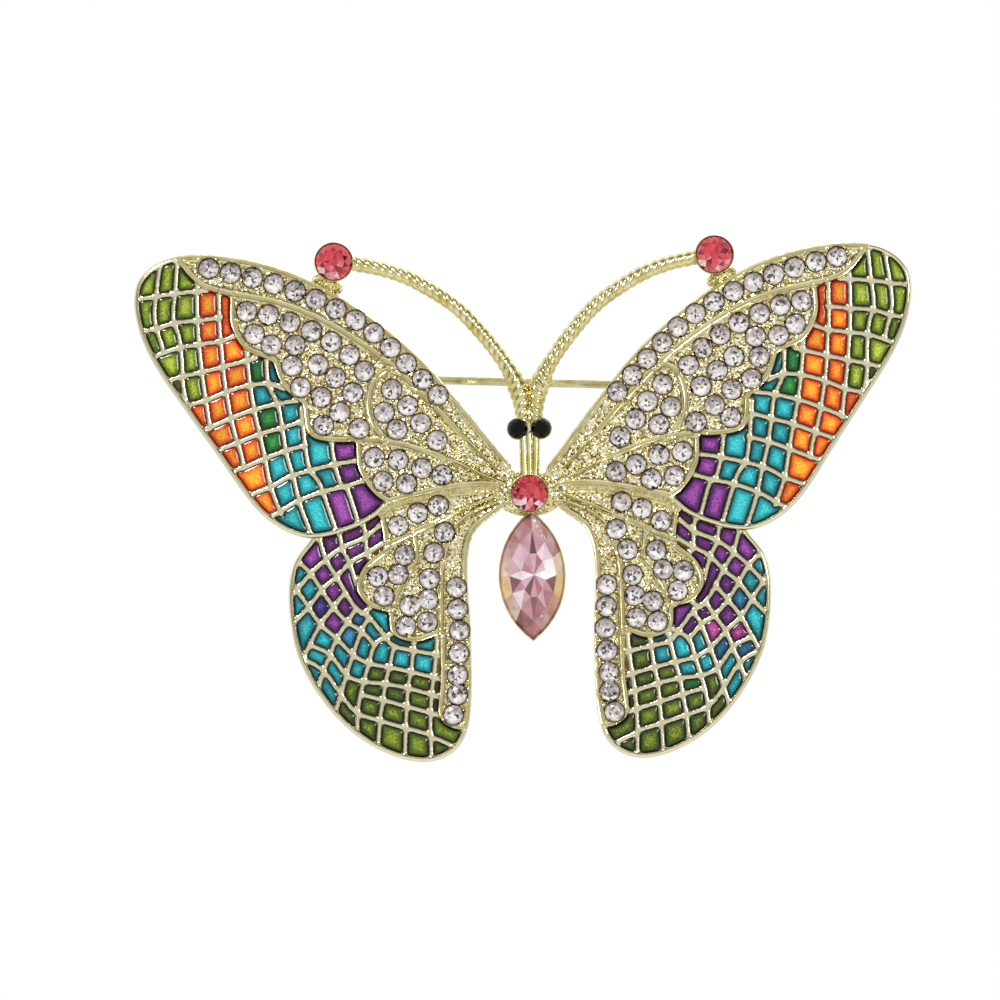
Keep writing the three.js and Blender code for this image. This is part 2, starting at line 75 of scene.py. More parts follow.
EDGE_STEP = 0.13  # spacing of points along rims and ribs
BED_STEP = 0.14  # and over the bed
END_REACH = 0.8  # a wall that ends this close to an edge runs into it
WALL_HALF = 0.25
ROUNDING = 0.07  # how far the corners of the enamel cells are rounded
SMALLEST_CELL = 0.12  # square millimetres
ODD_REACH = 0.75
SEAT_RADIUS = 0.97
SEAT_DEPTH = 0.42
BEAD_REACH = 1.13  # from a crystal's centre to the beads of metal that hold it
BACK_BORDER = 0.9
HOLLOW = 0.12  # depth of the hollow behind each wing
HOLLOW_SLOPE = 0.15
FAR = 1.5  # distances are not followed farther than this
CELL = 0.2  # squares that points are sorted into
GRID = 0.1  # spacing of the grid that offset lines are found on
STEP = 0.17  # spacing of points along those lines
RIM_ROWS = (0.09, 0.18, 0.28, 0.4)
BED_ROWS = (-0.48, -0.38, -0.28, -0.18, -0.09, 0.09, 0.18, 0.28, 0.38, 0.48)
RIB_ROWS = (-0.42, -0.33, -0.23, -0.12, 0, 0.12, 0.23, 0.33, 0.42)

# ---- Stones, antennae and body ----

CRYSTAL_RADIUS = 0.93
CHATON_RADIUS = 1.68
THORAX = (-0.1, -10.4)
STONE_TOP, STONE_BOTTOM, STONE_HALF = -12.15, -23.85, 2.99
# Painted brightness, standing for reflections, of the marquise's facets, from the top tip round its left side:
# (crown, edge of the table, point of the table, heart)
MARQUISE_FACET_LIGHT = [
    (0.42, 0.5, 0.02, 0.62), (0.5, 0.66, 0.6, 0.5), (0.72, 0.58, 0.7, 0.38), (0.85, 0.12, 0.8, 0.88),
    (0.7, 0.78, 0.45, 0.62), (0.25, 0.42, 0.55, 0.08), (0.5, 0.28, 0.15, 0.5), (0.45, 0.34, 0.62, 0.28),
    (0.85, 0.1, 0.45, 0.6), (0.9, 0.92, 1.0, 1.0), (0.55, 0.72, 0.9, 0.7), (0.6, 0.45, 0.8, 0.3),
]
# Painted amber glints, by the number of the crown facet.
AMBER_GLINTS = {2: 0.2, 3: 0.8, 4: 0.3, 7: 0.3, 8: 0.9, 9: 0.4}
FOOT_SLOPE = math.radians(25)  # of the wing's edge under an antenna stone
FOOT_SIZE = (1.5, 0.75)  # half its length and width
FOOT_PLACE = (0.65, -2.05)  # from the antenna's stone, outwards and up
FOOT_LEVEL = 1.8
STEMS = ((-0.52, -0.62), (-0.08, -0.05), (0.42, 0.6))  # of the body: foot and top of each, across
STEM_RADIUS = 0.38
STEM_DEPTH = 2.35
EYE_RADIUS = 0.95
THORAX_CUP = (0.7, 3.3)  # depth of its back and front
SHOULDERS = (  # under the head and the thorax stone: points, half sizes, middle, back and front
    (24, (0.95, 3.3), (0, -5.3), 0.8, 1.9),
    (60, (3.3, 2.1), (-0.1, -10.4), 0.3, 1.7),
)
ROPE_RADIUS = 0.69
ROPE_DEPTH = 2.0
ROPE_PITCH = 2.4
ANTENNA_PATH = [
    (0.62, -3.7), (0.74, -2.4), (0.95, -1.1), (1.35, 0.0), (2.2, 1.5), (4.1, 4.0), (6.9, 6.9),
    (10.6, 9.2), (13.5, 10.3), (16.6, 10.9),
]

# ---- Lattice walls and ribs, drawn for one side in the wing's own frame ----

WING_TURN = math.radians(1.1)
WING_SHIFT = -0.15
WING_WIDTH = {"left": 1, "right": 0.98}

FORE_WALLS = [
    [(36.8, 7.5), (34.7, 7.8), (32.9, 8.1), (30.7, 8.3)],
    [(36.6, 4.5), (34.7, 4.8), (32.8, 5.4), (30.7, 5.6), (28.6, 5.9)],
    [(35.1, 2.1), (33.9, 2.6), (32.4, 3.1), (30.6, 3.4), (28.6, 3.7), (27.5, 4.1)],
    [(33.9, -0.1), (32.3, 0.4), (30.5, 0.8), (28.5, 1.3), (26.2, 1.9)],
    [(32, -2.3), (30, -1.8), (28.1, -1), (26.1, -0.4), (24.2, -0.2), (23.5, -0.4)],
    [(30.1, -4.5), (27.8, -3.5), (25.7, -2.7), (23.4, -2.1), (22.2, -1.9)],
    [(28.9, -6.4), (26.8, -5.6), (25, -4.9), (22.9, -4.3), (21, -3.7)],
    [(27.5, -8.3), (26.5, -8), (24.6, -7.2), (22.8, -6.5), (20.7, -5.9)],
    [(26.1, -10.6), (24, -9.8), (22.4, -8.9), (20.5, -8.3), (18.1, -7.7), (15.8, -7.3)],
    [(24.3, -12.7), (23, -12), (21.5, -11.1), (19.1, -10.2), (17, -9.7), (15.1, -9.1)],
    [(34.1, 11.4), (34.6, 7.8), (34.7, 5.6), (34.2, 3.8), (33.9, 2.7)],
    [(32.6, 11.7), (32.8, 8.4), (33, 5.8), (32.5, 4.3), (32.2, 1.9), (32.1, -0.4), (31.7, -2.2)],
    [(30.8, 9.2), (30.8, 7), (30.7, 4.5), (30.5, 2.2), (30.2, -0.4), (29.8, -2.9), (29.6, -4.4)],
    [(28.8, 8.2), (28.7, 4.7), (28.5, 2.6), (28.3, 0.3), (27.9, -2.1), (27.4, -4.5), (26.7, -6.8),
     (26.5, -8)],
    [(26.2, 2.3), (25.9, -0.3), (25.5, -2.7), (25, -4.9), (24.5, -7.2), (24, -9.7), (23, -12.3)],
    [(24.4, 1.9), (24.2, -0.3), (23.3, -2.2), (22.9, -4.5), (22.5, -6.8), (21.8, -9.2), (21.3, -11.3),
     (20.3, -14)],
    [(21.1, -3.4), (20.8, -6), (20.4, -8.1), (19.6, -9.2), (19.1, -10.4), (18, -13.6)],
    [(18.4, -5.3), (18.1, -7.5), (17.5, -9.5), (16.9, -10), (15.9, -13)],
]
HIND_WALLS = [
    [(13.5, -12.9), (15.2, -14.4), (17.4, -15.4), (18.9, -16.5), (20.3, -17.8), (21.6, -19.3), (22.6, -20.3)],
    [(13.3, -14.8), (15.1, -15.9), (16.7, -16.8), (17.9, -18.1), (19.3, -19.3), (20.5, -20.9), (22.4, -22.9)],
    [(17.1, -19.5), (18.2, -20.9), (19.4, -22.5), (20.4, -24.4), (21.2, -26.1)],
    [(16.1, -21), (16.9, -22.3), (17.9, -23.8), (18.5, -25.3), (19.1, -26.8), (19.8, -29)],
    [(14.9, -21.8), (15.6, -23.1), (16.4, -25.3), (17, -27.2), (17.5, -29), (18.2, -31.2)],
    [(13.1, -23.5), (14.4, -24.4), (14.9, -26.1), (15.4, -27.8), (15.9, -30.2), (16, -33.7)],
    [(12.6, -24.5), (13, -26.4), (13.4, -28), (13.6, -29.5), (13.9, -31.4), (14.1, -34.9)],
    [(10.8, -24.9), (11, -26.7), (11.3, -28.4), (11.4, -30.1), (11.5, -32.1), (11.6, -35.4)],
    [(8.6, -23.6), (8.7, -25.3), (8.9, -27.3), (9.1, -28.9), (9.2, -30.6), (9.2, -32.6), (9.1, -35.4)],
    [(15.5, -13), (15.2, -14.4), (15.1, -15.9), (14.3, -17)],
    [(17.8, -13), (17.4, -15.4), (16.7, -16.8), (16.2, -18.4)],
    [(19.6, -14.2), (18.9, -16.5), (17.9, -18.1), (17.1, -19.5), (16.1, -21), (14.9, -21.8), (13.6, -23.4),
     (12.6, -24.5), (10.8, -24.9), (8.7, -25.3)],
    [(21.6, -16.5), (20.3, -17.8), (19.3, -19.3), (18.2, -20.9), (16.9, -22.3), (15.6, -23.1), (14.4, -24.4)],
    [(21.6, -19.3), (20.5, -20.9), (19.4, -22.5), (17.9, -23.8), (16.4, -25.3), (14.9, -26.1), (12.9, -26.5),
     (11, -26.9), (8.9, -27.4)],
    [(20.4, -24.4), (18.5, -25.3), (17, -27.2), (15.4, -27.8), (13.4, -28), (11.3, -28.4), (9.1, -29)],
    [(21.5, -25.4), (19.1, -26.8), (17.5, -29), (16, -30.7), (13.9, -31.4), (11.5, -32.1), (9.2, -32.7)],
    [(15.6, -29), (13.6, -29.5), (11.4, -30.1), (9.2, -30.7)],
    [(9.2, -32.9), (7.9, -33.4), (6.7, -34)],
    [(15.6, -21.5), (15.1, -21.2), (14.5, -20.7)],
]
FORE_RIBS = [
    [(28.4, 8.2), (25.0, 7.6), (22.2, 6.9), (19.4, 5.7), (16.7, 4.2), (13.9, 2.3), (11.1, -0.1), (8.3, -2.9),
     (5.6, -5.7), (3.2, -8.1)],
    [(12.0, 0.9), (13.3, 1.0), (14.3, 0.2), (14.8, -1.2), (14.9, -2.6), (14.4, -4.2), (13.4, -5.5)],
    [(16.4, -5.4), (13.9, -5.5), (11.6, -5.9), (9.3, -6.6), (6.9, -7.5), (4.6, -8.6), (2.3, -9.6)],
]
HIND_RIBS = [
    [(13.9, -15.4), (12.0, -14.6), (10.2, -13.7), (8.3, -12.9), (6.0, -11.8), (3.2, -10.6)],
    [(10.7, -14.2), (10.5, -16.4), (11.3, -17.7), (12.0, -19.1), (12.7, -20.4), (13.4, -21.4)],
    [(2.3, -11.0), (4.6, -11.8), (6.5, -13.0), (7.6, -14.7), (8.1, -16.6), (8.2, -19.3), (8.2, -23.4)],
]

SURROUNDINGS = [(0.0, "#e0e0e0"), (0.1, "#d4d4d4"), (0.3, "#303030"), (0.52, "#ffffff")]  # front to back
FLOOR_HALF = 2.0  # metres
FLOOR_LEVEL = -0.4  # metres
CAMERA_PLACE = (-2.836, -606, -10.945)  # across, away and up
CAMERA_LENS = 233.5
LAMPS = [
    ("key", (-0.35, -0.6, 0.55), 0.16, 4.0),
    ("fill", (0.55, -0.7, 0.1), 0.18, 1.8),
    ("low", (0.0, -0.5, -0.6), 0.3, 0.6),
    ("back", (0.2, 0.6, 0.4), 0.5, 1.0),
]

# ---- Enamel cells that differ from the colour round them: places for each side, wing, colour and slot ----

ODD_CELLS = {
    ("left", "forewing", "dark_green", "green"): [(-25.0, 1.6), (-24.1, -2.8), (-23.8, -5.2)],
    ("right", "forewing", "dark_green", "green"): [(24.6, 1.5), (24.7, -0.6)],
    ("left", "hindwing", "indigo", "purple"): [(-19.6, -21.0)],
    ("left", "hindwing", "blue", "teal"): [(-16.1, -22.1), (-17.0, -23.9)],
    ("left", "hindwing", "teal", "teal"): [(-14.1, -21.8)],
    ("right", "hindwing", "purple", "purple"): [(15.8, -21.8), (14.5, -23.0), (13.7, -21.7)],
    ("right", "hindwing", "olive", "olive"): [(10.2, -25.9), (9.6, -24.2)],
    ("right", "hindwing", "teal", "teal"): [(14.2, -26.5)],
    ("right", "hindwing", "magenta", "purple"): [(16.8, -23.5), (19.0, -24.0)],
    ("right", "hindwing", "blue", "teal"): [(19.4, -20.6), (17.7, -25.3), (19.8, -25.3)],
    ("right", "hindwing", "dark_green", "olive"): [(14.7, -28.0)],
}

# ---- Reading the CAD model ----


def corners_of(node):
    """The node's triangles, their corners as (across, up, depth)."""
    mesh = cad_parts[node].data
    mesh.calc_loop_triangles()
    order = np.empty(3 * len(mesh.loop_triangles), dtype=np.int32)
    mesh.loop_triangles.foreach_get("vertices", order)
    points = np.empty(3 * len(mesh.vertices), dtype=np.float32)
    mesh.vertices.foreach_get("co", points)
    points = points.reshape(-1, 3)[order].astype(float) / MM
    return np.stack([points[:, 0], points[:, 2], BACK - points[:, 1]], axis=1).reshape(-1, 3, 3)


def face_at(node, depth):
    """The triangles of the node's flat face at that depth, as (across, up)."""
    corners = corners_of(node)
    return corners[np.all(np.abs(corners[:, :, 2] - depth) < 0.01, axis=1)][:, :, :2]


def front_of(node):
    """The triangles of the node's foremost flat face."""
    return face_at(node, corners_of(node)[:, :, 2].max())


def signed_area(loop):
    following = np.roll(loop, -1, axis=0)
    return 0.5 * float(np.sum(loop[:, 0] * following[:, 1] - following[:, 0] * loop[:, 1]))


def loops_round(triangles):
    """The closed outlines of a flat face, the largest first."""
    edges = set()
    for triangle in np.round(triangles, 3).tolist():
        corners = [tuple(point) for point in triangle]
        for start, end in zip(corners, corners[1:] + corners[:1]):
            if (end, start) in edges:
                edges.remove((end, start))
            else:
                edges.add((start, end))
    following = dict(sorted(edges))
    loops = []
    while following:
        start = min(following)
        loop = [start]
        point = following.pop(start)
        while point != start:
            loop.append(point)
            point = following.pop(point)
        loops.append(np.array(loop))
    return sorted(loops, key=lambda loop: -abs(signed_area(loop)))


def centres_of_tables(node):
    """Centres of the separate flat tops on the node's foremost face."""
    groups = []
    for triangle in np.round(front_of(node), 2).tolist():
        corners = {tuple(point) for point in triangle}
        touching = [group for group in groups if group & corners]
        for group in touching:
            groups.remove(group)
            corners |= group
        groups.append(corners)
    return sorted(tuple(np.mean(list(group), axis=0)) for group in groups)


def holds(triangles, point):
    """True if one of the triangles holds the point."""
    for a, b, c in triangles:
        turns = [
            (end[0] - start[0]) * (point[1] - start[1]) - (end[1] - start[1]) * (point[0] - start[0])
            for start, end in ((a, b), (b, c), (c, a))
        ]
        if min(turns) >= 0 or max(turns) <= 0:
            return True
    return False


# ---- Flat drawing ----


def on_wing(side, points):
    """Points drawn in the wing's own frame, placed on that side."""
    points = np.array(points, dtype=float)
    out = points[:, 0] * math.cos(WING_TURN) - points[:, 1] * math.sin(WING_TURN) + WING_SHIFT
    up = points[:, 0] * math.sin(WING_TURN) + points[:, 1] * math.cos(WING_TURN)
    return np.stack([SIDES[side] * WING_WIDTH[side] * out, up], axis=1)


def smooth_line(points, per_span):
    """A Catmull-Rom curve through the points."""
    points = np.array(points, dtype=float)
    padded = np.vstack([2 * points[0] - points[1], points, 2 * points[-1] - points[-2]])
    result = []
    for index in range(len(points) - 1):
        p0, p1, p2, p3 = padded[index:index + 4]
        for t in np.arange(per_span) / per_span:
            result.append(0.5 * (2 * p1 + (p2 - p0) * t + (2 * p0 - 5 * p1 + 4 * p2 - p3) * t ** 2
                                 + (3 * p1 - p0 - 3 * p2 + p3) * t ** 3))
    result.append(points[-1])
    return np.array(result)


def even_points(line, step, closed=True):
    """The line again, with points about a step apart."""
    line = np.array(line, dtype=float)
    if closed:
        line = np.vstack([line, line[:1]])
    lengths = np.hypot(*np.diff(line, axis=0).T)
    travelled = np.concatenate([[0], np.cumsum(lengths)])
    count = max(8, int(round(travelled[-1] / step)))
    places = np.linspace(0, travelled[-1], count + 1)
    if closed:
        places = places[:-1]
    return np.stack([np.interp(places, travelled, line[:, axis]) for axis in (0, 1)], axis=1)


def distance(points, line, closed=False):
    """Distance from each point to the line, up to FAR."""
    starts = line if closed else line[:-1]
    ends = np.roll(line, -1, axis=0) if closed else line[1:]
    order = np.argsort(points[:, 0])
    across = points[order, 0]
    nearest = np.full(len(points), FAR)
    for start, end in zip(starts, ends):
        along = end - start
        length = float(along @ along)
        if length == 0:
            continue
        first = np.searchsorted(across, min(start[0], end[0]) - FAR)
        last = np.searchsorted(across, max(start[0], end[0]) + FAR)
        near = order[first:last]
        offset = points[near] - start
        share = np.minimum(np.maximum(offset @ along / length, 0), 1)
        gap = np.hypot(offset[:, 0] - share * along[0], offset[:, 1] - share * along[1])
        nearest[near] = np.minimum(nearest[near], gap)
    return nearest


def inside(points, loop):
    """True for each point that the closed loop goes round."""
    order = np.argsort(points[:, 1])
    up = points[order, 1]
    result = np.zeros(len(points), dtype=bool)
    for start, end in zip(loop, np.roll(loop, -1, axis=0)):
        first = np.searchsorted(up, min(start[1], end[1]))
        last = np.searchsorted(up, max(start[1], end[1]))
        if first < last:
            level = order[first:last]
            share = (points[level, 1] - start[1]) / (end[1] - start[1])
            result[level] ^= points[level, 0] < start[0] + share * (end[0] - start[0])
    return result


def signed_distance(points, loop):
    """Distance to the loop, positive inside it."""
    return np.where(inside(points, loop), 1, -1) * distance(points, loop, closed=True)


def grid_over(loop):
    """Coordinates of a grid over the loop, and its points as one list."""
    low = loop.min(axis=0) - 3 * GRID
    high = loop.max(axis=0) + 3 * GRID
    across = np.arange(low[0], high[0], GRID)
    up = np.arange(low[1], high[1], GRID)
    mesh = np.stack(np.meshgrid(across, up, indexing="ij"), axis=-1)
    return across, up, mesh.reshape(-1, 2)


# For each pattern of corners above the level, the pairs of square sides that a contour joins
CROSSINGS = {
    1: [(3, 0)], 2: [(0, 1)], 3: [(3, 1)], 4: [(1, 2)], 5: [(3, 2), (1, 0)], 6: [(0, 2)], 7: [(3, 2)],
    8: [(2, 3)], 9: [(2, 0)], 10: [(0, 3), (2, 1)], 11: [(2, 1)], 12: [(1, 3)], 13: [(1, 0)], 14: [(0, 3)],
}


def contours(across, up, values, level, smallest=0.0):
    """Closed lines along which the gridded values cross the level, as evenly spaced points."""
    field = values.reshape(len(across), len(up)) - level
    above = field > 0
    pattern = above[:-1, :-1] + 2 * above[1:, :-1] + 4 * above[1:, 1:] + 8 * above[:-1, 1:]
    following = {}
    for i, j in np.argwhere((pattern > 0) & (pattern < 15)):
        sides = {0: (i, j, 0), 1: (i + 1, j, 1), 2: (i, j + 1, 0), 3: (i, j, 1)}
        for start, end in CROSSINGS[int(pattern[i, j])]:
            following[sides[start]] = sides[end]
    lines = []
    while following:
        start, side = following.popitem()
        chain = [start]
        while side != start and side in following:
            chain.append(side)
            side = following.pop(side)
        points = []
        for i, j, upright in chain:
            near, far = field[i, j], field[i, j + 1] if upright else field[i + 1, j]
            shift = near / (near - far) * GRID
            points.append((across[i], up[j] + shift) if upright else (across[i] + shift, up[j]))
        line = np.array(points)
        if len(line) > 5 and abs(signed_area(line)) > smallest:
            lines.append(even_points(line, STEP))
    return lines


def triangulate(lines, loose=()):
    """Triangles over all the points, with an edge along each closed line."""
    points = []
    edges = []
    for line in lines:
        first = len(points)
        points.extend(Vector(point) for point in line)
        edges.extend((first + index, first + (index + 1) % len(line)) for index in range(len(line)))
    points.extend(Vector(point) for point in loose)
    vertices, _, faces, _, _, _ = delaunay_2d_cdt(points, edges, [], 0, 1e-4, False)
    return np.array([tuple(vertex) for vertex in vertices]), np.array(faces)


def kept(vertices, faces, keep):
    """Only the faces marked, with the points that they use."""
    faces = faces[keep]
    used, inverse = np.unique(faces, return_inverse=True)
    return vertices[used], inverse.reshape(faces.shape)


def rounded(loop, times=2):
    """The closed line with its corners cut, which makes it smooth."""
    for _ in range(times):
        following = np.roll(loop, -1, axis=0)
        cuts = [0.75 * loop + 0.25 * following, 0.25 * loop + 0.75 * following]
        loop = np.stack(cuts, axis=1).reshape(-1, 2)
    return loop


def ring(centre, radius, count, turn=0.0):
    """Evenly spaced points on a circle, anticlockwise."""
    angles = turn + 2 * np.pi * np.arange(count) / count
    return np.array(centre) + radius * np.stack([np.cos(angles), np.sin(angles)], axis=1)


class Spread:
    """Points kept apart from each other: a new one that is too close to an earlier one is left out."""

    def __init__(self, lines):
        self.cells = {}
        self.loose = []
        for line in lines:
            for point in line.tolist():
                self.cells.setdefault(self.cell(point), []).append(point)

    def cell(self, point):
        return int(point[0] // CELL), int(point[1] // CELL)

    def add(self, points, least):
        for point in points.tolist():
            i, j = self.cell(point)
            near = [other for a in (i - 1, i, i + 1) for b in (j - 1, j, j + 1)
                    for other in self.cells.get((a, b), ())]
            if all((point[0] - x) ** 2 + (point[1] - y) ** 2 > least ** 2 for x, y in near):
                self.cells.setdefault((i, j), []).append(point)
                self.loose.append(point)


def beside(line, offsets, step):
    """Points along the line and along its parallels, at each of the offsets."""
    line = even_points(line, step, closed=False)
    along = np.gradient(line, axis=0)
    along /= np.maximum(np.hypot(along[:, 0], along[:, 1]), 1e-9)[:, None]
    normal = np.stack([-along[:, 1], along[:, 0]], axis=1)
    return np.vstack([line + offset * normal for offset in offsets])


def staggered(loop, spacing):
    """Points in staggered rows inside the loop, each a little out of line."""
    low, high = loop.min(axis=0), loop.max(axis=0)
    across = np.arange(low[0], high[0], spacing)
    up = np.arange(low[1], high[1], spacing * 0.87)
    points = np.stack(np.meshgrid(across, up), axis=-1)
    points[1::2, :, 0] += spacing / 2
    points = points.reshape(-1, 2) + RANDOM.uniform(-0.12, 0.12, (len(across) * len(up), 2)) * spacing
    return points[inside(points, loop)]


# ---- Making objects ----


def lift(points, depths):
    """Flat points and their depths as places in metres."""
    return np.stack([points[:, 0], BACK - depths, points[:, 1]], axis=1) * MM


def make_object(name, places, faces, material, body="brooch", smooth=35, attributes=None):
    """A mesh object that rides on a body. Attributes are named lists, one number a point or a face."""
    mesh = bpy.data.meshes.new(name)
    mesh.from_pydata(np.asarray(places).tolist(), [], [[int(i) for i in face] for face in faces])
    for label, values in (attributes or {}).items():
        domain = "POINT" if len(values) == len(mesh.vertices) else "FACE"
        layer = mesh.attributes.new(label, "FLOAT", domain)
        layer.data.foreach_set("value", np.array(values, dtype=np.float32))
    if smooth:
        mesh.shade_smooth()
        mesh.set_sharp_from_angle(angle=math.radians(smooth))
    mesh.materials.append(material)
    made = bpy.data.objects.new(name, mesh)
    bpy.context.scene.collection.objects.link(made)
    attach(made, body)
    return made


def face_forward(points, faces):
    """The flat faces with their order set so that they face the front."""
    a, b, c = (points[faces[:, corner]] for corner in range(3))
    turn = (b[:, 0] - a[:, 0]) * (c[:, 1] - a[:, 1]) - (b[:, 1] - a[:, 1]) * (c[:, 0] - a[:, 0])
    faces = faces.copy()
    faces[turn < 0] = faces[turn < 0][:, ::-1]
    return faces


def inset(loop, amount):
    """The anticlockwise loop moved inwards."""
    along = np.roll(loop, -1, axis=0) - np.roll(loop, 1, axis=0)
    along /= np.maximum(np.hypot(along[:, 0], along[:, 1]), 1e-9)[:, None]
    return loop + amount * np.stack([-along[:, 1], along[:, 0]], axis=1)


def slab(points, faces, depths, edges, back, soften=0.12, hollow=None):
    """A closed solid from a front made of flat faces. Its edges are closed runs of point numbers.
    Its back is flat, or has the lines, the loose points and the depths that hollow gives."""
    places = [lift(points, depths)]
    polygons = faces.tolist()
    count = len(points)
    lines, loose, depth_at = hollow or ([], [], None)
    for edge in edges:
        loop = points[edge]
        middle = count + np.arange(len(edge))
        last = middle + len(edge)
        count += 2 * len(edge)
        places.append(lift(loop, np.full(len(edge), back + soften)))
        places.append(lift(inset(loop, soften), np.full(len(edge), back)))
        for upper, lower in ((np.array(edge), middle), (middle, last)):
            following = np.roll(upper, -1), np.roll(lower, -1)
            polygons += np.stack([upper, lower, following[1], following[0]], axis=1).tolist()
        flat_points, flat = triangulate([loop] + lines, loose)
        flat = flat[inside(flat_points[flat].mean(axis=1), loop)]
        added = flat_points[len(edge):]
        if len(added):
            places.append(lift(added, depth_at(added)))
        numbers = np.concatenate([last, count + np.arange(len(added))])
        count += len(added)
        polygons += numbers[face_forward(flat_points, flat)][:, ::-1].tolist()
    return np.vstack(places), polygons


# ---- Wings ----


def crest(across):
    """1 along the two thin ridges of a band, at this distance from its middle, and 0 off them."""
    return np.exp(-((np.abs(across) - 0.22) / 0.06) ** 2)


def band(across):
    """Cross-section of a raised band: a shallow groove between two thin ridges."""
    return 0.1 / (1 + np.exp((np.abs(across) - 0.31) / 0.03)) + 0.08 * crest(across)


def crease(across):
    """1 in the crease along each side of a band, and less along the groove in its middle; painted shade goes
    there.
    """
    return np.exp(-((np.abs(across) - 0.4) / 0.05) ** 2) + 0.4 * np.exp(-(across / 0.12) ** 2)


class Wing:
    """What is needed to draw one wing: its outline, enamel field, walls, ribs and seats."""

    def __init__(self, side, part, level, walls, ribs, panels, covered_by=None):
        self.side, self.part, self.level = side, part, level
        self.name = f"{part}_{side}"
        plate = f"{part}_plate_{side}"
        self.edge = rounded(loops_round(face_at(plate, level["back"]))[0])
        self.outline = anticlockwise(even_points(self.edge, STEP))
        self.bed_edge = rounded(loops_round(front_of(plate))[0], 1)
        self.walls = [self.reach(smooth_line(on_wing(side, wall), 3)) for wall in walls]
        self.ribs = [smooth_line(on_wing(side, rib), 3) for rib in ribs]
        self.seats = {f"pave_{panel}_{side}": centres_of_tables(f"pave_{panel}_{side}") for panel in panels}
        self.centres = np.array([centre for seats in self.seats.values() for centre in seats])
        beads = np.vstack([ring(centre, BEAD_REACH, 4, np.pi / 4) for centre in self.centres])
        self.beads = beads[self.to_seat(beads) > BEAD_REACH - 0.05]
        self.covered_by = covered_by

    def reach(self, wall):
        """The wall, with each end that is close to the bed or the rim run on into it."""
        ends = [(wall[0], wall[0] - wall[1]), (wall[-1], wall[-1] - wall[-2])]
        added = []
        for end, way in ends:
            here = end[None, :]
            gap = min(distance(here, self.edge, True)[0], distance(here, self.bed_edge, True)[0])
            added.append([end + way * END_REACH / np.hypot(*way)] if gap < END_REACH else [])
        return np.array(added[0] + list(wall) + added[1])

    def lattice(self, points):
        """Distance into the nearest enamel cell; below zero on the metal round it."""
        borders = [signed_distance(points, self.edge) - RIM_WIDTH]
        borders.append(-signed_distance(points, self.bed_edge) - 0.06)
        if self.covered_by:
            borders.append(-signed_distance(points, self.covered_by.edge) - 0.05)
        field = np.minimum.reduce(borders)
        open_field = field > -WALL_HALF
        here = points[open_field]
        total = sum(np.exp(-border[open_field] / ROUNDING) for border in borders)
        for wall in self.walls:
            total += np.exp((WALL_HALF - distance(here, wall)) / ROUNDING)
        field[open_field] = -ROUNDING * np.log(total)
        return field

    def to_seat(self, points):
        """Distance to the centre of the nearest crystal."""
        nearest = np.full(len(points), np.inf)
        for centre in self.centres:
            nearest = np.minimum(nearest, np.hypot(*(points - centre).T))
        return nearest

    def to_bead(self, points):
        """Distance to the nearest bead, for points near a crystal."""
        nearest = np.full(len(points), FAR)
        near = np.flatnonzero(self.to_seat(points) < SEAT_RADIUS + 0.5)
        for bead in self.beads:
            nearest[near] = np.minimum(nearest[near], np.hypot(*(points[near] - bead).T))
        return nearest

    def on_metal(self, points):
        """Only the points on the metal, clear of the cells and of the seats."""
        points = points[inside(points, self.edge)]
        points = points[self.to_seat(points) > SEAT_RADIUS]
        return points[self.lattice(points) < 0]

    def bed_depth(self, points):
        """Depth of the bed; the hindwing's swells towards the body, to meet the forewing."""
        return self.level["bed"] + self.level["swell"] * np.exp(-(from_thorax(points) / 7) ** 2)

    def enamel_front(self, lattice):
        """Depth of the enamel's front, which is domed a little in its cell."""
        rise = np.clip(lattice / 0.5, 0, 1)
        return self.level["wall"] - 0.2 + 0.15 * (1 - (1 - rise) ** 2)

    def wall_depth(self, edge, lattice):
        """Depth of the rim and the lattice walls, which have round tops, and of the floors between."""
        wall = self.level["wall"]
        walls = wall - WALL_DROP * np.clip(1 + lattice / WALL_HALF, 0, 1) ** 2
        rim = wall + RIM_RISE - RIM_DROP * (2 * edge / RIM_WIDTH - 1) ** 2
        return np.where(lattice > 0.02, self.level["floor"], np.where(edge < RIM_WIDTH, rim, walls))

    def relief(self, points, from_edge):
        """Height of the bed's border and ribs, the painted highlight along their crests and the painted shade
        in their creases.
        """
        to_body = from_thorax(points)
        fade = np.clip((to_body - BORDER_START) / BORDER_FADE, 0, 1)
        across = from_edge - BORDER_MIDDLE
        raised = fade * (band(across) - 0.2 * np.clip(1 - from_edge / 0.13, 0, 1) ** 2)
        bright = fade * crest(across)
        shaded = fade * crease(across)
        width = RIB_WIDTH * np.clip(to_body / RIB_TAPER, 0.5, 1)
        for rib in self.ribs:
            across = distance(points, rib) / width
            raised = np.maximum(raised, RIB_HEIGHT * band(across))
            bright = np.maximum(bright, crest(across))
            shaded = np.maximum(shaded, crease(across))
        return raised, bright, shaded

    def front(self, points):
        """For each point: depth of the casting's front, how grained it is, its painted shade, and how pale it
        is, with a painted highlight along the crests on the bed.
        """
        edge = np.clip(signed_distance(points, self.edge), 0, None)
        bed = signed_distance(points, self.bed_edge)
        lattice = self.lattice(points)
        if self.covered_by:
            covered = signed_distance(points, self.covered_by.edge)
            hidden = (covered > -0.5) & (bed > -0.5) & (lattice < 0)
            bed = np.where(hidden, np.maximum(bed, 0.6), bed)
        on_bed = bed > 0
        seat = self.to_seat(points)
        from_edge = np.minimum(np.clip(bed, 0, None), edge)

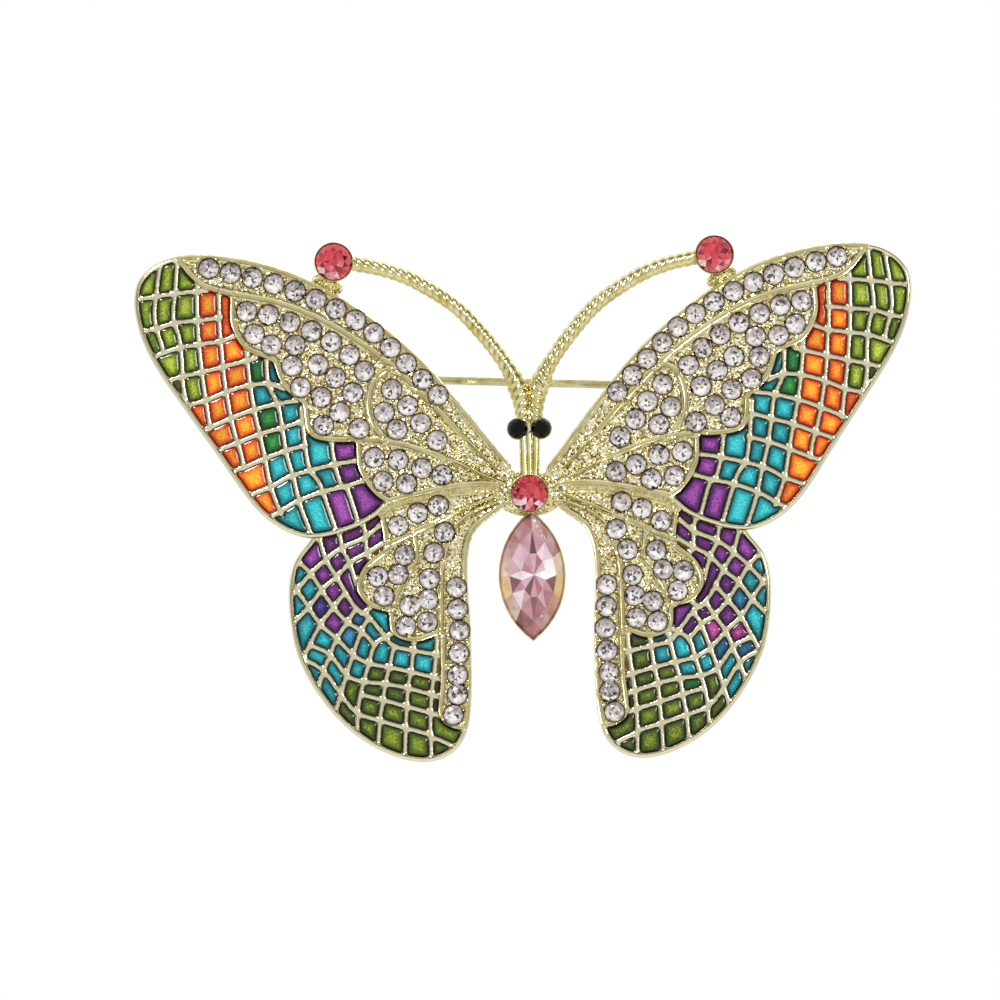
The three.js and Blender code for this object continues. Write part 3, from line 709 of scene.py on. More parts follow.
        raised, bright, shaded = self.relief(points, from_edge)
        grained = np.clip(1 - 12 * np.abs(raised), 0, 1) * on_bed * (edge > 0.12)
        raised += GRAIN_HEIGHT * grained * np.clip(RANDOM.normal(size=len(points)), -2, 2)
        raised += LIP_HEIGHT * np.exp(-((seat - LIP_RADIUS) / 0.07) ** 2)
        raised += BEAD_HEIGHT * np.exp(-(self.to_bead(points) / BEAD_SIZE) ** 2) * (from_edge > 0.3)
        raised[seat < SEAT_RADIUS - 0.02] = -SEAT_DEPTH
        depth = np.where(on_bed, self.bed_depth(points) + raised, self.wall_depth(edge, lattice))
        if self.covered_by:
            depth = np.where(covered > 0.08, np.minimum(depth, UNDER_WING), depth)
            depth = np.where(near_body(points), np.minimum(depth, UNDER_BODY), depth)

        # Painted shade: a dark ring in the gap round each crystal and in the creases of the border and ribs;
        # off the bed, at the foot of the walls.
        gap_and_crease_shade = np.maximum(np.exp(-np.abs(seat - SEAT_RADIUS) / 0.045), 0.6 * shaded)
        dark = np.where(on_bed, gap_and_crease_shade, np.exp(-np.abs(lattice) / 0.05))
        # Rims and walls are paler metal; on the bed the paleness is a painted highlight along the crests.
        return depth, {"grained": grained, "dark": dark, "paler_metal_and_highlight": np.where(on_bed, 0.7 * bright, 1.0)}


def from_thorax(points):
    return np.hypot(points[:, 0] - THORAX[0], points[:, 1] - THORAX[1])


def near_body(points):
    """True where the stem or the cup of the body stands on the wings."""
    return (from_thorax(points) < 2.05) | ((np.abs(points[:, 0]) < 1.35) & (points[:, 1] > THORAX[1]))


def anticlockwise(loop):
    return loop if signed_area(loop) > 0 else loop[::-1]


def cast(wing, across, up, field):
    """The metal of a wing: rims, lattice walls, grained bed, ribs and seats, in one casting."""
    lines = [wing.outline]
    lines += contours(across, up, field, 0.0, SMALLEST_CELL)
    lines += contours(across, up, field, 0.05, SMALLEST_CELL)
    for centre in wing.centres:
        lines.append(ring(centre, SEAT_RADIUS, 20))
        lines.append(ring(centre, SEAT_RADIUS - 0.05, 20))
    loose = Spread(lines)
    for line, offsets in ((wing.outline, RIM_ROWS), (wing.bed_edge, BED_ROWS)):
        closed = np.vstack([line, line[:1]])
        loose.add(wing.on_metal(beside(closed, offsets, EDGE_STEP)), 0.06)
    for line in wing.ribs:
        loose.add(wing.on_metal(beside(line, RIB_ROWS, EDGE_STEP)), 0.06)
    for line in wing.walls:
        loose.add(wing.on_metal(beside(line, (0,), 0.2)), 0.1)
    for bead in wing.beads:
        loose.add(wing.on_metal(np.vstack([[bead], ring(bead, 0.11, 6)])), 0.05)
    loose.add(wing.on_metal(staggered(wing.outline, BED_STEP)), 0.09)
    points, faces = triangulate(lines, loose.loose)
    middles = points[faces].mean(axis=1)
    points, faces = kept(points, faces, inside(middles, wing.outline))
    faces = face_forward(points, faces)
    depths, attributes = wing.front(points)
    places, polygons = slab(points, faces, depths, [range(len(wing.outline))], wing.level["back"],
                            hollow=hollow_back(wing, across, up))
    for label, values in attributes.items():
        attributes[label] = np.concatenate([values, np.zeros(len(places) - len(points))])
    made = make_object(f"{wing.name}_casting", places, polygons, GOLD, smooth=50, attributes=attributes)
    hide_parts(f"{wing.part}_plate_{wing.side}")


def hollow_back(wing, across, up):
    """A raised border round the wing's back, and a shallow hammered hollow inside it."""
    _, _, points = grid_over(wing.outline)
    from_edge = signed_distance(points, wing.outline)
    levels = (BACK_BORDER, BACK_BORDER + HOLLOW_SLOPE)
    lines = [line for level in levels for line in contours(across, up, from_edge, level)]
    loose = Spread(lines)
    scattered = staggered(wing.outline, 0.5)
    loose.add(scattered[signed_distance(scattered, wing.outline) > BACK_BORDER + 0.2], 0.2)

    def depth_at(points):
        inwards = np.clip((signed_distance(points, wing.outline) - BACK_BORDER) / HOLLOW_SLOPE, 0, 1)
        dents = 0.025 * RANDOM.normal(size=len(points)) * (inwards == 1)
        return wing.level["back"] + HOLLOW * inwards + dents

    return lines, loose.loose, depth_at


def cells(across, up, field):
    """For each enamel cell, its closed lines, from the border inwards."""
    borders = contours(across, up, field, -0.01, SMALLEST_CELL)
    inner = [line for level in (0.09, 0.2, 0.34) for line in contours(across, up, field, level)]
    starts = np.array([line[0] for line in inner])
    found = []
    for border in borders:
        border = anticlockwise(border)
        own = np.flatnonzero(inside(starts, border))
        found.append([border] + [inner[index] for index in own])
    return found


def colour_of(wing, middle, fronts):
    """The CAD node and the colour for a cell, from the place of its middle."""
    nearest = min(fronts, key=lambda node: 0 if holds(fronts[node], middle) else gap_to(fronts[node], middle))
    colour = nearest.split("_")[2]
    for (side, part, odd, slot), places in ODD_CELLS.items():
        nearby = any(np.hypot(*(middle - place)) < ODD_REACH for place in places)
        if (side, part) == (wing.side, wing.part) and nearby:
            return f"{part}_enamel_{slot}_{side}", odd
    return nearest, colour


def enamel(wing, across, up, field):
    """Enamel in every cell of the wing, one object for each colour."""
    nodes = [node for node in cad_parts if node.startswith(f"{wing.part}_enamel_")]
    fronts = {node: front_of(node) for node in nodes if node.endswith(wing.side)}
    slabs = {(node, node.split("_")[2]): [] for node in fronts}
    for lines in cells(across, up, field):
        loose = Spread(lines)
        loose.add(staggered(lines[0], 0.24), 0.11)
        points, faces = triangulate(lines, loose.loose)
        middles = points[faces].mean(axis=1)
        points, faces = kept(points, faces, inside(middles, lines[0]))
        faces = face_forward(points, faces)
        lattice = wing.lattice(points)
        border = range(len(lines[0]))
        front = wing.enamel_front(lattice)
        places, polygons = slab(points, faces, front, [border], wing.level["floor"], 0.02)
        centre = np.zeros(len(places))
        # Distance into the cell from the walls, which the enamel uses for painted shade along the walls.
        centre[:len(points)] = np.clip(lattice / 0.6, 0, 1)
        tone = np.full(len(places), RANDOM.uniform(0, 1))
        key = colour_of(wing, lines[0].mean(axis=0), fronts)
        slabs.setdefault(key, []).append((places, polygons, {"centre": centre, "tone": tone}))
    for (node, colour), parts in slabs.items():
        places, polygons, attributes = joined(parts)
        made = make_object(f"{wing.name}_{colour}", places, polygons, ENAMEL[colour],
                           smooth=40, attributes=attributes)
        if colour in node:
            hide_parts(node)


def gap_to(triangles, point):
    """Distance from the point to the nearest triangle's middle."""
    return 1 + float(np.hypot(*(triangles.mean(axis=1) - point).T).min())


def joined(parts):
    """Several (places, polygons, attributes) as one."""
    places = np.vstack([part[0] for part in parts])
    polygons = []
    first = 0
    for part in parts:
        polygons += [[first + corner for corner in polygon] for polygon in part[1]]
        first += len(part[0])
    attributes = {label: np.concatenate([part[2][label] for part in parts]) for label in parts[0][2]}
    return places, polygons, attributes


# ---- Stones ----


def brilliant(centre, base, radius, height, sides, table=0.6):
    """A round stone with a flat table: places, faces, and a painted brightness for each face, which
    stands for its reflections.
    """
    girdle = ring(centre, radius, 2 * sides)
    rings = [(girdle, base), (girdle, base + 0.35 * height)]
    rings.append((ring(centre, radius * 0.83, sides, np.pi / sides), base + 0.75 * height))
    rings.append((ring(centre, radius * table, sides), base + height))
    rings.append((ring(centre, radius * table * 0.45, sides, np.pi / sides), base + height + 0.01))
    points = np.vstack([line for line, _ in rings] + [[centre], [centre]])
    ends = [[base + height + 0.02], [base]]
    depths = np.concatenate([np.full(len(line), depth) for line, depth in rings] + ends)
    starts = np.cumsum([0] + [len(line) for line, _ in rings])
    lower, girdle_top, crown, star, inner = starts[:5]
    top = len(points) - 2
    faces, tones = [], []

    def face(*corners, tone):
        faces.append(corners)
        tones.append(tone)

    # Painted reflections: a random brightness for each crown facet.
    spark = RANDOM.uniform(0, 1, 8 * sides)
    for index in range(2 * sides):
        after = (index + 1) % (2 * sides)
        face(lower + index, lower + after, girdle_top + after, girdle_top + index, tone=0.25)
        face(lower + after, lower + index, top + 1, tone=0.3)
    for index in range(sides):
        after = (index + 1) % sides
        low, mid, high = 2 * index, 2 * index + 1, (2 * index + 2) % (2 * sides)
        tone = spark[8 * index:8 * index + 8]
        face(girdle_top + low, girdle_top + mid, crown + index, tone=tone[0])
        face(girdle_top + mid, girdle_top + high, crown + index, tone=tone[1])
        face(girdle_top + low, crown + index, star + index, tone=tone[2])
        face(crown + index, girdle_top + high, star + after, tone=tone[3])
        face(star + index, crown + index, star + after, tone=tone[4])
        face(star + index, star + after, inner + index, tone=tone[5])
        face(inner + index, star + after, inner + after, tone=tone[6])
        face(inner + index, inner + after, top, tone=tone[7])
    return lift(points, depths), [list(one) for one in faces], np.array(tones)


def around(places, faces, centre):
    """How far each face is from the stone's centre, and in which direction, in degrees."""
    middles = np.array([places[corners].mean(axis=0) for corners in faces])[:, (0, 2)] / MM - centre
    return np.hypot(*middles.T), np.degrees(np.arctan2(middles[:, 1], middles[:, 0]))


def dark_facets(tones, share, level, spread=0.25):
    """Painted reflections: brightness with a share of the faces dark and the rest near the level."""
    return np.where(tones < share, 0.25 * tones / max(share, 1e-6), level + spread * (tones - 0.5))


def lit_from_below(tones, reach, way, radius, amount):
    """Painted light: brightness with the stone's lower half paler and livelier than its upper half."""
    lower = -np.sin(np.radians(way)) * np.minimum(reach / radius, 0.6)
    return tones + amount * lower * (1 + 2 * (tones - 0.6))


def pave(wing):
    """The crystals of each panel, which are cut and set alike but have painted facet reflections that
    differ from stone to stone.
    """
    for node, centres in wing.seats.items():
        parts = []
        for centre in centres:
            places, faces, tones = brilliant(centre, wing.bed_depth(np.array([centre]))[0] - 0.25,
                                             CRYSTAL_RADIUS, 0.5, 8)
            reach, way = around(places, faces, centre)
            tones = dark_facets(tones, RANDOM.choice([0.02, 0.05, 0.1]), RANDOM.uniform(0.68, 0.84), 0.6)
            tones = lit_from_below(tones, reach, way, CRYSTAL_RADIUS, 0.3)
            # Painted dark reflections: a few dark wedges round each crystal's middle.
            for wedge in RANDOM.uniform(-180, 180, RANDOM.integers(2, 5)):
                off = np.abs((way - wedge + 180) % 360 - 180)
                tones[(off < 12) & (reach < 0.62 * CRYSTAL_RADIUS)] *= 0.3
            parts.append((places, faces, {"tone": np.clip(tones, 0, 1)}))
        places, polygons, attributes = joined(parts)
        made = make_object(node.replace("pave", "crystals"), places, polygons, CRYSTAL,
                           smooth=0, attributes=attributes)
        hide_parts(node)


def chaton(name, node, centre, base, material, radius, height, share, sparks=()):
    """A larger stone in a cup, with painted facet reflections. Sparks are the directions, in degrees,
    where facets have painted flashes.
    """
    places, faces, tones = brilliant(centre, base, radius, height, 10)
    tones = dark_facets(tones, share, 0.6)
    reach, way = around(places, faces, centre)
    # Painted shade in the stone's middle, and painted light on its lower half.
    tones = lit_from_below(np.where(reach < 0.35 * radius, 0.75 * tones, tones), reach, way, radius, 0.2)
    for index in range(len(faces)):
        if reach[index] > 0.4 * radius and any(abs(way[index] - spark) < 7 for spark in sparks):
            tones[index] = (1.0, 0.0, 0.9)[index % 3]
    made = make_object(name, places, faces, material, smooth=0,
                       attributes={"tone": np.clip(tones, 0, 1)})
    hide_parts(node)


def centre_of(node):
    low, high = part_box(node)
    return np.array([(low.x + high.x) / 2, (low.z + high.z) / 2]) / MM


def depth_range(node):
    """Depth of the node's back and front."""
    low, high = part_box(node)
    return BACK - high.y / MM, BACK - low.y / MM


def collar(name, centre, outer, wall, back, front, lip=0.12):
    """A round cup with a thin rounded lip, closed at the back."""
    profile = [(0, back), (outer * 0.82, back), (outer * 0.9, back + 0.2), (outer, front - 0.4),
               (outer, front), (outer - 0.3 * wall, front + lip), (outer - 0.7 * wall, front + lip),
               (outer - wall, front), (outer - wall, front - 0.45), (0, front - 0.45)]
    return lathe(name, centre, profile, shaded_radius=outer - wall)


def between_rings(rings, count, first=0):
    """Faces between each ring of that many points and the next, from the first ring's first point."""
    faces = []
    for level in range(rings - 1):
        start = first + level * count
        for index in range(count):
            after = (index + 1) % count
            faces.append([start + index, start + after, start + count + after, start + count + index])
    return faces


def lathe(name, centre, profile, shaded_radius, sides=40):
    """A gold body turned about an axis that runs front to back, from (radius, depth) pairs. It has painted
    shade where its radius is the shaded radius, in the gap next to the stone."""
    hoops = profile[1:-1]
    points = [[centre]] + [ring(centre, radius, sides) for radius, _ in hoops] + [[centre]]
    depths = [[profile[0][1]]] + [[depth] * sides for _, depth in hoops] + [[profile[-1][1]]]
    dark = [[0.0]] + [[float(radius == shaded_radius)] * sides for radius, _ in hoops] + [[0.0]]
    last = 1 + len(hoops) * sides
    polygons = between_rings(len(hoops), sides, 1)
    for index in range(sides):
        after = (index + 1) % sides
        polygons.append([0, 1 + after, 1 + index])
        polygons.append([last, last - sides + index, last - sides + after])
    return make_object(name, lift(np.vstack(points), np.concatenate(depths)), polygons, GOLD,
                       attributes={"dark": np.concatenate(dark)})


def pointed_oval(top, bottom, half, steps=14):
    """Anticlockwise outline of the marquise stone, from its top tip."""
    length = (top - bottom) / 2
    radius = (length ** 2 + half ** 2) / (2 * half)
    spread = math.asin(length / radius)
    middle = (top + bottom) / 2
    angles = spread - 2 * spread * np.arange(steps) / steps
    left = np.stack([-(radius * np.cos(angles) - radius + half), middle + radius * np.sin(angles)], axis=1)
    right = np.stack([-left[:, 0], 2 * middle - left[:, 1]], axis=1)
    return np.vstack([left, right])


def marquise():
    """The pointed pink stone: crown facets round a table, and the facets seen through the table, each with
    a painted brightness and some with painted amber glints.
    """
    outer = pointed_oval(STONE_TOP, STONE_BOTTOM, STONE_HALF, 12)
    heart = np.array([0.2, (STONE_TOP + STONE_BOTTOM) / 2 + 0.1])
    table = heart + 0.72 * (outer[::2] - heart)
    inner = heart + 0.55 * (np.roll(table, 1, axis=0) + table - 2 * heart) / 2
    back, front = depth_range("abdomen_stone")
    rings = [(outer, back), (outer, back + 1.1), (table, front - 0.25), (inner, front - 0.2)]
    points = np.vstack([line for line, _ in rings] + [[heart], [heart]])
    depths = np.concatenate([np.full(len(line), depth) for line, depth in rings] + [[front - 0.14], [back]])
    girdle, tables, hearts = 24, 48, 60
    middle, bottom = 72, 73
    faces, tones, amber_glint = [], [], []

    def face(corners, tone, glint=0.0):
        faces.append(corners)
        tones.append(tone)
        amber_glint.append(glint)

    for index in range(24):
        after = (index + 1) % 24
        face([index, after, girdle + after, girdle + index], 0.4)
        face([after, index, bottom], 0.3)
    for index in range(12):
        after = (index + 1) % 12
        low, mid, high = girdle + 2 * index, girdle + 2 * index + 1, girdle + (2 * index + 2) % 24
        crown, edge, point, heart_tone = MARQUISE_FACET_LIGHT[index]
        face([low, mid, tables + index], crown - 0.12, AMBER_GLINTS.get(index, 0.0))
        face([mid, high, tables + after], crown + 0.1, AMBER_GLINTS.get(index, 0.0))
        face([mid, tables + after, tables + index], crown, AMBER_GLINTS.get(index, 0.0))
        face([tables + index, tables + after, hearts + after], edge)
        face([tables + index, hearts + after, hearts + index], point)
        face([hearts + index, hearts + after, middle], heart_tone)
    attributes = {"tone": np.array(tones), "amber_glint": np.array(amber_glint)}
    made = make_object("marquise", lift(points, depths), faces, PINK, smooth=0,
                       attributes=attributes)
    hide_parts("abdomen_stone")


def marquise_setting():
    """The thin tray that holds the pointed stone."""
    outer = even_points(pointed_oval(STONE_TOP + 0.2, STONE_BOTTOM - 0.2, STONE_HALF + 0.12), 0.3)
    back, front = depth_range("abdomen_setting")
    inner = inset(outer, 0.14)
    count = len(outer)
    middle = outer.mean(axis=0)
    rings = [(middle + 0.84 * (outer - middle), back), (inset(outer, 0.12), back + 0.15),
             (outer, back + 0.6), (outer, front - 0.5), (inset(outer, 0.06), front - 0.4),
             (inner, front - 0.45), (inner, back + 0.5)]
    points = np.vstack([line for line, _ in rings])
    depths = np.concatenate([np.full(count, depth) for _, depth in rings])
    polygons = between_rings(len(rings), count)
    polygons.append(list(range(count))[::-1])
    polygons.append(list(range((len(rings) - 1) * count, len(rings) * count)))
    made = make_object("marquise_setting", lift(points, depths), polygons, GOLD)
    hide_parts("abdomen_setting")


# ---- Antennae, head and stem ----


def sweep(route, section, sides):
    """Places and faces of a rod along the route (across, up, depth). The section gives its radius
    and turn for an angle and a distance along."""
    steps = np.diff(route, axis=0)
    travelled = np.concatenate([[0], np.cumsum(np.hypot(steps[:, 0], steps[:, 1]))])
    along = np.gradient(route[:, :2], axis=0)
    along /= np.hypot(along[:, 0], along[:, 1])[:, None]
    across = np.stack([-along[:, 1], along[:, 0]], axis=1)
    angles = 2 * np.pi * np.arange(sides) / sides
    places = []
    for place, side, distance_along in zip(route, across, travelled):
        radius = section(angles, distance_along)
        flat = place[:2] + np.outer(radius * np.cos(angles), side)
        places.append(lift(flat, place[2] + radius * np.sin(angles)))
    polygons = []
    for level in range(len(route) - 1):
        start = level * sides
        for index in range(sides):
            after = (index + 1) % sides
            polygons.append([start + index, start + sides + index, start + sides + after, start + after])
    polygons.append(list(range(sides)))
    last = (len(route) - 1) * sides
    polygons.append(list(range(last, last + sides))[::-1])
    return np.vstack(places), polygons


def rope_section(hand):
    """Cross-section of a rope of three strands, each of finer wires, thicker where it joins the head."""
    def section(angles, along):
        turn = angles - hand * 2 * np.pi * along / ROPE_PITCH
        strands = 0.8 + 0.2 * np.abs(np.cos(1.5 * turn)) ** 0.8 + 0.03 * np.cos(12 * turn)
        return ROPE_RADIUS * strands * (1 + 0.42 * np.exp(-((along - 3.2) / 1.6) ** 2))
    return section


def antenna(side):
    route = smooth_line(on_wing(side, ANTENNA_PATH), 8)
    route = even_points(route, 0.07, closed=False)
    depth = np.full(len(route), ROPE_DEPTH)
    places, polygons = sweep(np.column_stack([route, depth]), rope_section(-SIDES[side]), 36)
    made = make_object(f"rope_{side}", places, polygons, GOLD, smooth=45)
    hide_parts(f"antenna_{side}")

    stone = centre_of(f"antenna_stone_{side}")
    back, front = depth_range(f"antenna_cup_{side}")
    cup = collar(f"antenna_collar_{side}", stone, CHATON_RADIUS + 0.15, 0.1, back, front)
    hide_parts(f"antenna_cup_{side}")
    long = np.array([SIDES[side] * math.cos(FOOT_SLOPE), math.sin(FOOT_SLOPE)])
    flat = ring((0, 0), 1, 32) * FOOT_SIZE
    middle = stone + (SIDES[side] * FOOT_PLACE[0], FOOT_PLACE[1])
    loop = middle + np.outer(flat[:, 0], long) + np.outer(flat[:, 1], (-long[1], long[0]))
    places, polygons, attributes = mound(loop, back, FOOT_LEVEL)
    make_object(f"antenna_foot_{side}", places, polygons, GOLD, smooth=50, attributes=attributes)
    chaton(f"antenna_chaton_{side}", f"antenna_stone_{side}", stone, front - 0.3, ROSE,
           CHATON_RADIUS, 1.15, 0.16, sparks=(-150, -135, -75))


def mound(loop, back, front):
    """A grained lump of cast metal inside the loop: places, polygons and attributes."""
    loose = staggered(loop * 0.96 + loop.mean(axis=0) * 0.04, BED_STEP)
    flat, faces = triangulate([loop], loose)
    faces = face_forward(flat, faces)
    rise = np.clip(signed_distance(flat, loop) / 0.9, 0, 1)
    depths = front + 0.75 * (1 - (1 - rise) ** 2) + 0.05 * RANDOM.normal(size=len(flat)) * (rise > 0)
    places, polygons = slab(flat, faces, depths, [range(len(loop))], back)
    return places, polygons, {"grained": np.arange(len(places)) < len(flat)}


def body():
    """Head, eyes, ridged stem and the cup of the thorax stone."""
    thorax_back, thorax_front = THORAX_CUP
    parts = []
    for foot, top in STEMS:
        stem = smooth_line([(top, -4.9), (0.93 * top, -6.0), (0.5 * (top + foot), -7.5), (foot, -9.0)], 8)
        stem = even_points(stem, 0.2, closed=False)
        route = np.column_stack([stem, np.full(len(stem), STEM_DEPTH)])
        places, polygons = sweep(route, lambda angles, along: np.full(len(angles), STEM_RADIUS), 16)
        parts.append((places, polygons, {"grained": np.zeros(len(places))}))
    for count, halves, middle, back, front in SHOULDERS:
        parts.append(mound(ring((0, 0), 1, count) * halves + middle, back, front))
    places, polygons, attributes = joined(parts)
    made = make_object("head_and_stem", places, polygons, GOLD, smooth=50, attributes=attributes)
    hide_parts("body_casting")
    collar("thorax_collar", np.array(THORAX), CHATON_RADIUS + 0.12, 0.1, thorax_back, thorax_front, 0.05)
    chaton("thorax_chaton", "thorax_stone", centre_of("thorax_stone"), thorax_front - 0.3, ROSE,
           CHATON_RADIUS, 1.15, 0.12, sparks=(-150, -135, -120, -105, -60, -45))
    for side in SIDES:
        centre = centre_of(f"eye_stone_{side}")
        back, front = depth_range(f"eye_stone_{side}")
        collar(f"eye_collar_{side}", centre, 1.02, 0.1, back - 0.5, back + 0.25, 0.03)
        chaton(f"eye_{side}", f"eye_stone_{side}", centre, back, BLACK, EYE_RADIUS,
               front - back, 0.0)


# ---- Materials ----


def rgb(code):
    """A hex colour as linear red, green, blue and alpha."""
    parts = [int(code[start:start + 2], 16) / 255 for start in (1, 3, 5)]
    return (*(part / 12.92 if part <= 0.04045 else ((part + 0.055) / 1.055) ** 2.4 for part in parts), 1)


class Tree:
    """The node tree of a material or world, with short ways to add to it. Each gives an output."""

    def __init__(self, owner):
        owner.use_nodes = True
        self.nodes = owner.node_tree.nodes
        self.link = owner.node_tree.links.new

    def noise(self, size, detail=2.0, roughness=0.5):
        """Noise whose features are about that many millimetres across."""
        place = self.nodes.new("ShaderNodeTexCoord")
        texture = self.nodes.new("ShaderNodeTexNoise")
        texture.inputs["Scale"].default_value = 1 / (size * MM)
        texture.inputs["Detail"].default_value = detail
        texture.inputs["Roughness"].default_value = roughness
        self.link(place.outputs["Object"], texture.inputs["Vector"])
        return texture.outputs["Fac"]

    def ramp(self, value, stops):
        """Colours spread over the value; each stop is (position, colour)."""
        made = self.nodes.new("ShaderNodeValToRGB")
        for index, (position, colour) in enumerate(stops):
            stop = made.color_ramp.elements[index] if index < 2 else made.color_ramp.elements.new(position)
            stop.position = position
            stop.color = rgb(colour)
        self.link(value, made.inputs["Fac"])
        return made.outputs["Color"]

    def attribute(self, name):
        made = self.nodes.new("ShaderNodeAttribute")
        made.attribute_name = name
        return made.outputs["Fac"]

    def blend(self, share, first, second, mode="MIX"):
        """Two colours (outputs or hex codes), mixed by the share."""
        made = self.nodes.new("ShaderNodeMix")
        made.data_type = "RGBA"
        made.blend_type = mode
        sockets = [socket for socket in made.inputs if socket.type == "RGBA"]
        for socket, colour in zip(sockets, (first, second)):
            if isinstance(colour, str):
                socket.default_value = rgb(colour)
            else:
                self.link(colour, socket)
        if isinstance(share, (int, float)):
            made.inputs["Factor"].default_value = share
        else:
            self.link(share, made.inputs["Factor"])
        return next(output for output in made.outputs if output.type == "RGBA")

    def bump(self, height, strength, size):
        made = self.nodes.new("ShaderNodeBump")
        made.inputs["Strength"].default_value = strength
        made.inputs["Distance"].default_value = size * MM
        self.link(height, made.inputs["Height"])
        return made.outputs["Normal"]

    def shader(self, **sockets):
        """Set sockets of the shader, named with _ for a space, to plain numbers or to outputs."""
        inputs = self.nodes["Principled BSDF"].inputs
        for name, value in sockets.items():
            socket = inputs[name.replace("_", " ")]
            if isinstance(value, (int, float)):
                socket.default_value = value
            else:
                self.link(value, socket)


def new_material(name):
    material = bpy.data.materials.new(name)
    return material, Tree(material)


def gold():
    """Pale yellow plate: brighter and creamier on rims and walls, with a painted highlight along the crests
    on the bed, deeper in the grain, and with painted shade in the hollows, creases and gaps.
    """
    material, tree = new_material("paler_metal_and_highlight_gold")
    grain = tree.ramp(tree.noise(0.2, 3), [(0.36, "#86681a"), (0.46, "#d8ca84"), (0.57, "#fffbdc")])
    smooth_metal = tree.ramp(tree.noise(1.5, 3), [(0.3, "#d2c47c"), (0.7, "#f2e8b6")])
    colour = tree.blend(tree.attribute("grained"), smooth_metal, grain)
    # Paler metal on rims and walls and a painted highlight on crests, then painted shade in gaps, creases and
    # at wall feet.
    colour = tree.blend(tree.attribute("paler_metal_and_highlight"), colour, "#ebe5c0")
    colour = tree.blend(tree.attribute("dark"), colour, "#664c12")
    rough = tree.ramp(tree.noise(0.6), [(0.3, "#606060"), (0.7, "#8a8a8a")])
    grain_height = tree.blend(tree.attribute("grained"), "#808080", tree.noise(0.16, 2))
    tree.shader(Base_Color=colour, Metallic=1.0, Roughness=rough, Normal=tree.bump(grain_height, 0.5, 0.05))
    return material


def steel():
    material, tree = new_material("pin_wire")
    colour = tree.ramp(tree.noise(0.8, 3), [(0.3, "#b8ae84"), (0.7, "#ddd4a8")])
    rough = tree.ramp(tree.noise(0.3), [(0.3, "#484848"), (0.7, "#6c6c6c")])
    normal = tree.bump(tree.noise(0.1), 0.2, 0.02)
    tree.shader(Base_Color=colour, Metallic=1.0, Roughness=rough, Normal=normal)
    return material


def enamel_material(name, border, shadow, middle, bright):
    """Glossy enamel: painted shade along the walls, with a fine glitter in it, and brighter in some of
    the cells."""
    material, tree = new_material(f"enamel_{name}")
    # Specks mixed with the distance from the walls, which adds painted shade near them.
    wall_shade_and_specks = tree.blend(0.3, tree.noise(0.18, 3, 0.75), tree.attribute("centre"))
    glitter = tree.ramp(wall_shade_and_specks, [(0.38, shadow), (0.54, middle), (0.72, bright)])
    lively = tree.ramp(tree.attribute("tone"), [(0.6, "#000000"), (1.0, "#606060")])
    glitter = tree.blend(lively, glitter, bright)
    shade = tree.ramp(tree.attribute("tone"), [(0.0, "#d8d8d8"), (0.6, "#ffffff")])
    glitter = tree.blend(1.0, glitter, shade, "MULTIPLY")
    # Painted shade: dark along the walls, lighter towards the middle of each cell.
    wall_shade = tree.ramp(tree.attribute("centre"), [(0.05, "#000000"), (0.45, "#ffffff")])
    tree.shader(Base_Color=tree.blend(wall_shade, border, glitter), Roughness=0.5, Specular_IOR_Level=0.1,
                Coat_Weight=1.0, Coat_IOR=1.4, Coat_Roughness=0.05,
                Normal=tree.bump(tree.noise(0.25, 2), 0.15, 0.05))
    return material


def stone_material(name, stops, metallic, **more):
    """A foiled stone: each facet has its own painted brightness, standing for its reflections, over a faint
    cloud.
    """
    material, tree = new_material(name)
    colour = tree.ramp(tree.attribute("tone"), stops)
    cloud = tree.ramp(tree.noise(0.9, 2), [(0.3, "#e4e4e4"), (0.6, "#ffffff")])
    colour = tree.blend(1.0, colour, cloud, "MULTIPLY")
    # Painted amber glints on some facets.
    colour = tree.blend(tree.attribute("amber_glint"), colour, "#f0c890")
    tree.shader(Base_Color=colour, Metallic=metallic, Roughness=0.08, Coat_Weight=0.6, Coat_Roughness=0.02)
    tree.shader(**more)
    return material


GOLD = gold()
STEEL = steel()
# The colour along the walls is painted shade.
ENAMEL_TONES = {  # along the walls, then in shadow, in the middle tones and in the glitter
    "green": ("#142604", "#4c6800", "#7c9408", "#dce858"),
    "orange": ("#901800", "#d84000", "#f87400", "#ffcc38"),
    "teal": ("#002830", "#006c76", "#00959e", "#48dce0"),
    "purple": ("#180420", "#440c54", "#681878", "#b85cc0"),
    "olive": ("#0e1604", "#2e4204", "#485e06", "#98a820"),
    "dark_green": ("#001c08", "#00501c", "#046c28", "#50b050"),
    "blue": ("#00182c", "#064470", "#146890", "#58b0d0"),
    "indigo": ("#080420", "#180c50", "#2c1c70", "#7868b8"),
    "magenta": ("#300420", "#801068", "#a82880", "#e890c0"),
}
ENAMEL = {name: enamel_material(name, *tones) for name, tones in ENAMEL_TONES.items()}
CRYSTAL = stone_material(
    "clear_crystal", [(0.0, "#1c1614"), (0.3, "#6e6664"), (0.6, "#bcb0ae"), (1.0, "#fffcfa")], 0.25)
ROSE = stone_material(
    "rose_glass", [(0.0, "#640814"), (0.4, "#bc2838"), (0.7, "#de4c5a"), (0.95, "#ffd8dc")], 0.15)
PINK = stone_material(
    "pink_glass", [(0.0, "#5c3c40"), (0.35, "#bc7c84"), (0.65, "#dcb4c2"), (0.95, "#fffafa")], 0.2)
BLACK = stone_material(
    "black_glass", [(0.0, "#020203"), (0.6, "#050506"), (1.0, "#0c0c0e")], 0.0,
    Coat_Weight=0.05, Specular_IOR_Level=0.15)
PIN_PARTS = {
    "pin_stem": STEEL, "joint_rivet": STEEL, "joint_bracket": GOLD, "catch_base": GOLD, "catch_roller": GOLD,
}

# ---- Putting it together ----


